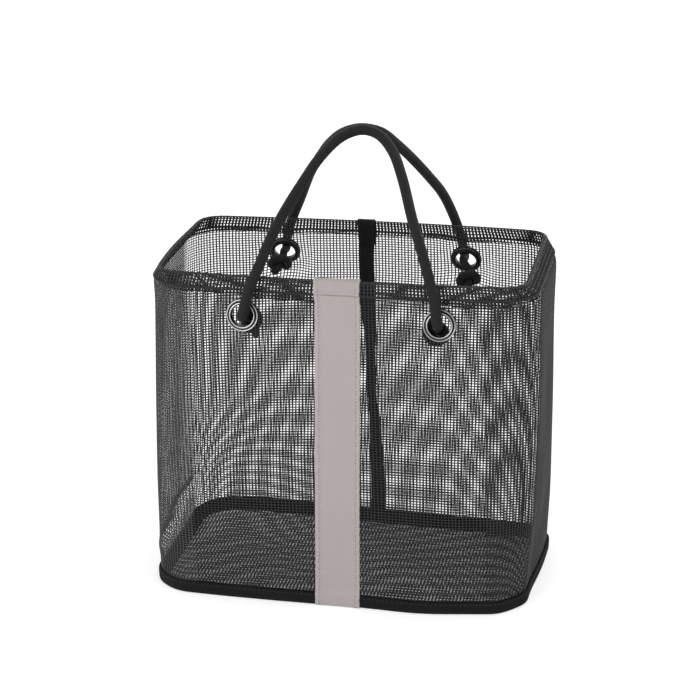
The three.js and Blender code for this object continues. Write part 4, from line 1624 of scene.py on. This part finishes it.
FRONT_ROUTE = [
    [-60.4, 0.999, 11.1], [-57.2, 0.997, 21.6], [-51.3, 0.95, 35.9], [-46.4, 0.857, 49.6],
    [-40.2, 0.718, 64.1], [-29.2, 0.486, 83.8], [-19.2, 0.268, 99], [-7.4, 0.103, 109.2],
    [5.2, 0.054, 113], [17.2, 0.091, 110.6], [28.2, 0.213, 102.2], [37.8, 0.419, 88.2],
    [48.2, 0.687, 66.6], [55.8, 0.843, 51.4], [62.6, 0.955, 34.6], [67.6, 0.998, 17.1],
]
BACK_ROUTE = [
    [-66.6, 0.999, 11.1], [-62.8, 0.991, 23.6], [-55.5, 0.919, 40.2], [-49.4, 0.809, 54],
    [-42.6, 0.665, 67.6], [-32.9, 0.481, 82.2], [-22.8, 0.292, 95.8], [-10, 0.122, 107.2],
    [3.4, 0.054, 111.8], [15.2, 0.098, 108.9], [24.8, 0.27, 96.8], [33.8, 0.479, 81.6],
    [42.3, 0.677, 65.6], [49.6, 0.843, 50.6], [55.2, 0.955, 34.6], [60.9, 0.998, 17.1],
]


@dataclass(frozen=True)
class Viewpoint:
    """The photograph's camera, fitted to the bag."""

    target: Triple = (0.0, 0.0, 0.125)  # The point that it is aimed past.
    distance: float = 1.69995
    azimuth: float = 10.47  # Degrees round towards +X from straight in front.
    elevation: float = 19.94  # Degrees over the horizon.
    roll: float = -0.22  # Degrees about its own axis.
    focal_pixels: float = 2393.97
    centre_pixels: Pair = (357.14, 399.9)  # Where its axis meets the frame.
    frame_pixels: float = 700.0
    sensor: float = 36.0

    def build(self) -> None:
        """Makes the scene's camera."""
        azimuth, elevation = math.radians(self.azimuth), math.radians(self.elevation)
        level = math.cos(elevation)
        back = Vector((math.sin(azimuth) * level, -math.cos(azimuth) * level, math.sin(elevation)))
        data = bpy.data.cameras.new("camera")
        data.sensor_width = self.sensor
        data.lens = self.focal_pixels * self.sensor / self.frame_pixels
        half = self.frame_pixels / 2
        data.shift_x = (half - self.centre_pixels[0]) / self.frame_pixels
        data.shift_y = (self.centre_pixels[1] - half) / self.frame_pixels
        camera = bpy.data.objects.new("camera", data)
        bpy.context.collection.objects.link(camera)
        aim = back.to_track_quat("Z", "Y").to_matrix() @ Matrix.Rotation(math.radians(self.roll), 3, "Z")
        place = Matrix.Translation(Vector(self.target) + back * self.distance)
        camera.matrix_world = place @ aim.to_4x4()
        bpy.context.scene.camera = camera


@dataclass(frozen=True)
class Studio:
    """The pale floor, the lamps and the white surroundings."""

    # Name, place, size and watts of each lamp.
    lamps: tuple[tuple[str, Triple, float, float], ...] = (
        ("key_lamp", (-1.0, -1.7, 0.4), 1.3, 26.5),
        ("fill_lamp", (1.3, -0.9, 1.1), 1.2, 6.0),
        ("back_lamp", (0.3, 1.3, 1.4), 1.2, 8.0),
    )
    aim_height: float = 0.12
    world_light: float = 0.6
    floor_grey: tuple[float, ...] = (0.8, 0.8, 0.8, 1)
    floor_glow: float = 0.5  # How much the floor glows where the camera sees it.
    floor_half: float = 3.0
    floor_level: float = -0.0002

    def seen_directly(self, sheet: NodeSheet) -> bpy.types.NodeSocket:
        """1 for rays from the camera and for reflected and transmitted ones, else 0."""
        ray = sheet.node("LightPath").outputs
        both = sheet.math("MAXIMUM", ray["Is Camera Ray"], ray["Is Glossy Ray"])
        return sheet.math("MAXIMUM", both, ray["Is Transmission Ray"])

    def build_world(self) -> None:
        """Makes the surroundings: white where they are seen, a soft grey as light."""
        world = bpy.data.worlds.new("surroundings")
        bpy.context.scene.world = world
        world.use_nodes = True
        sheet = NodeSheet(world.node_tree)
        light, seen = (
            sheet.node("Background", Color=(1, 1, 1, 1), Strength=strength).outputs[0]
            for strength in (self.world_light, 1.0)
        )
        mix = sheet.node("MixShader", self.seen_directly(sheet), light, seen)
        sheet.node("OutputWorld", mix.outputs[0])

    def build_floor(self) -> None:
        """Makes the floor, lifted towards white where the camera sees it, with its shadow."""
        signs = ((-1, -1), (1, -1), (1, 1), (-1, 1))
        corners = [(x * self.floor_half, y * self.floor_half, self.floor_level) for x, y in signs]
        mesh = bpy.data.meshes.new("floor")
        mesh.from_pydata(corners, [], [(0, 1, 2, 3)])
        floor = bpy.data.objects.new("floor", mesh)
        bpy.context.collection.objects.link(floor)
        material = bpy.data.materials.new("floor_white")
        material.use_nodes = True
        sheet = NodeSheet(material.node_tree)
        matte = sheet.node("BsdfDiffuse", Color=self.floor_grey)
        lift = sheet.math("MULTIPLY", self.seen_directly(sheet), self.floor_glow)
        glow = sheet.node("Emission", Color=(1, 1, 1, 1), Strength=lift)
        both = sheet.node("AddShader", matte.outputs[0], glow.outputs[0])
        sheet.node("OutputMaterial", both.outputs[0])
        mesh.materials.append(material)

    def build(self) -> None:
        """Makes the floor, the surroundings and three square lamps that face the bag."""
        bpy.context.scene.view_settings.view_transform = "Standard"
        self.build_world()
        self.build_floor()
        for name, place, size, watts in self.lamps:
            data = bpy.data.lights.new(name, "AREA")
            data.size = size
            data.energy = watts
            lamp = bpy.data.objects.new(name, data)
            bpy.context.collection.objects.link(lamp)
            lamp.location = place
            aim = Vector(place) - Vector((0, 0, self.aim_height))
            lamp.rotation_euler = aim.to_track_quat("Z", "Y").to_euler()


def main() -> None:
    """Builds the bag from its camera and cords outwards."""
    logging.basicConfig(level=logging.INFO, format="%(message)s")
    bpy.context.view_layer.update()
    shape = BagShape()
    shop = Workshop()
    Viewpoint().build()
    front_left, front_right, back_left, back_right = shape.eyelets
    CordHandle(shape, shop, "front", front_left, front_right, FRONT_ROUTE).build()
    CordHandle(shape, shop, "back", back_left, back_right, BACK_ROUTE).build()
    net = NetBody(shape, shop)
    net.build_wall()
    net.build_floor()
    net.build_hem()
    net.build_seam()
    for part in (CentreStrip, SeamTape, BaseBinding, Hardware):
        part(shape, shop).build()
    Studio().build()


if __name__ == "__main__":
    main()
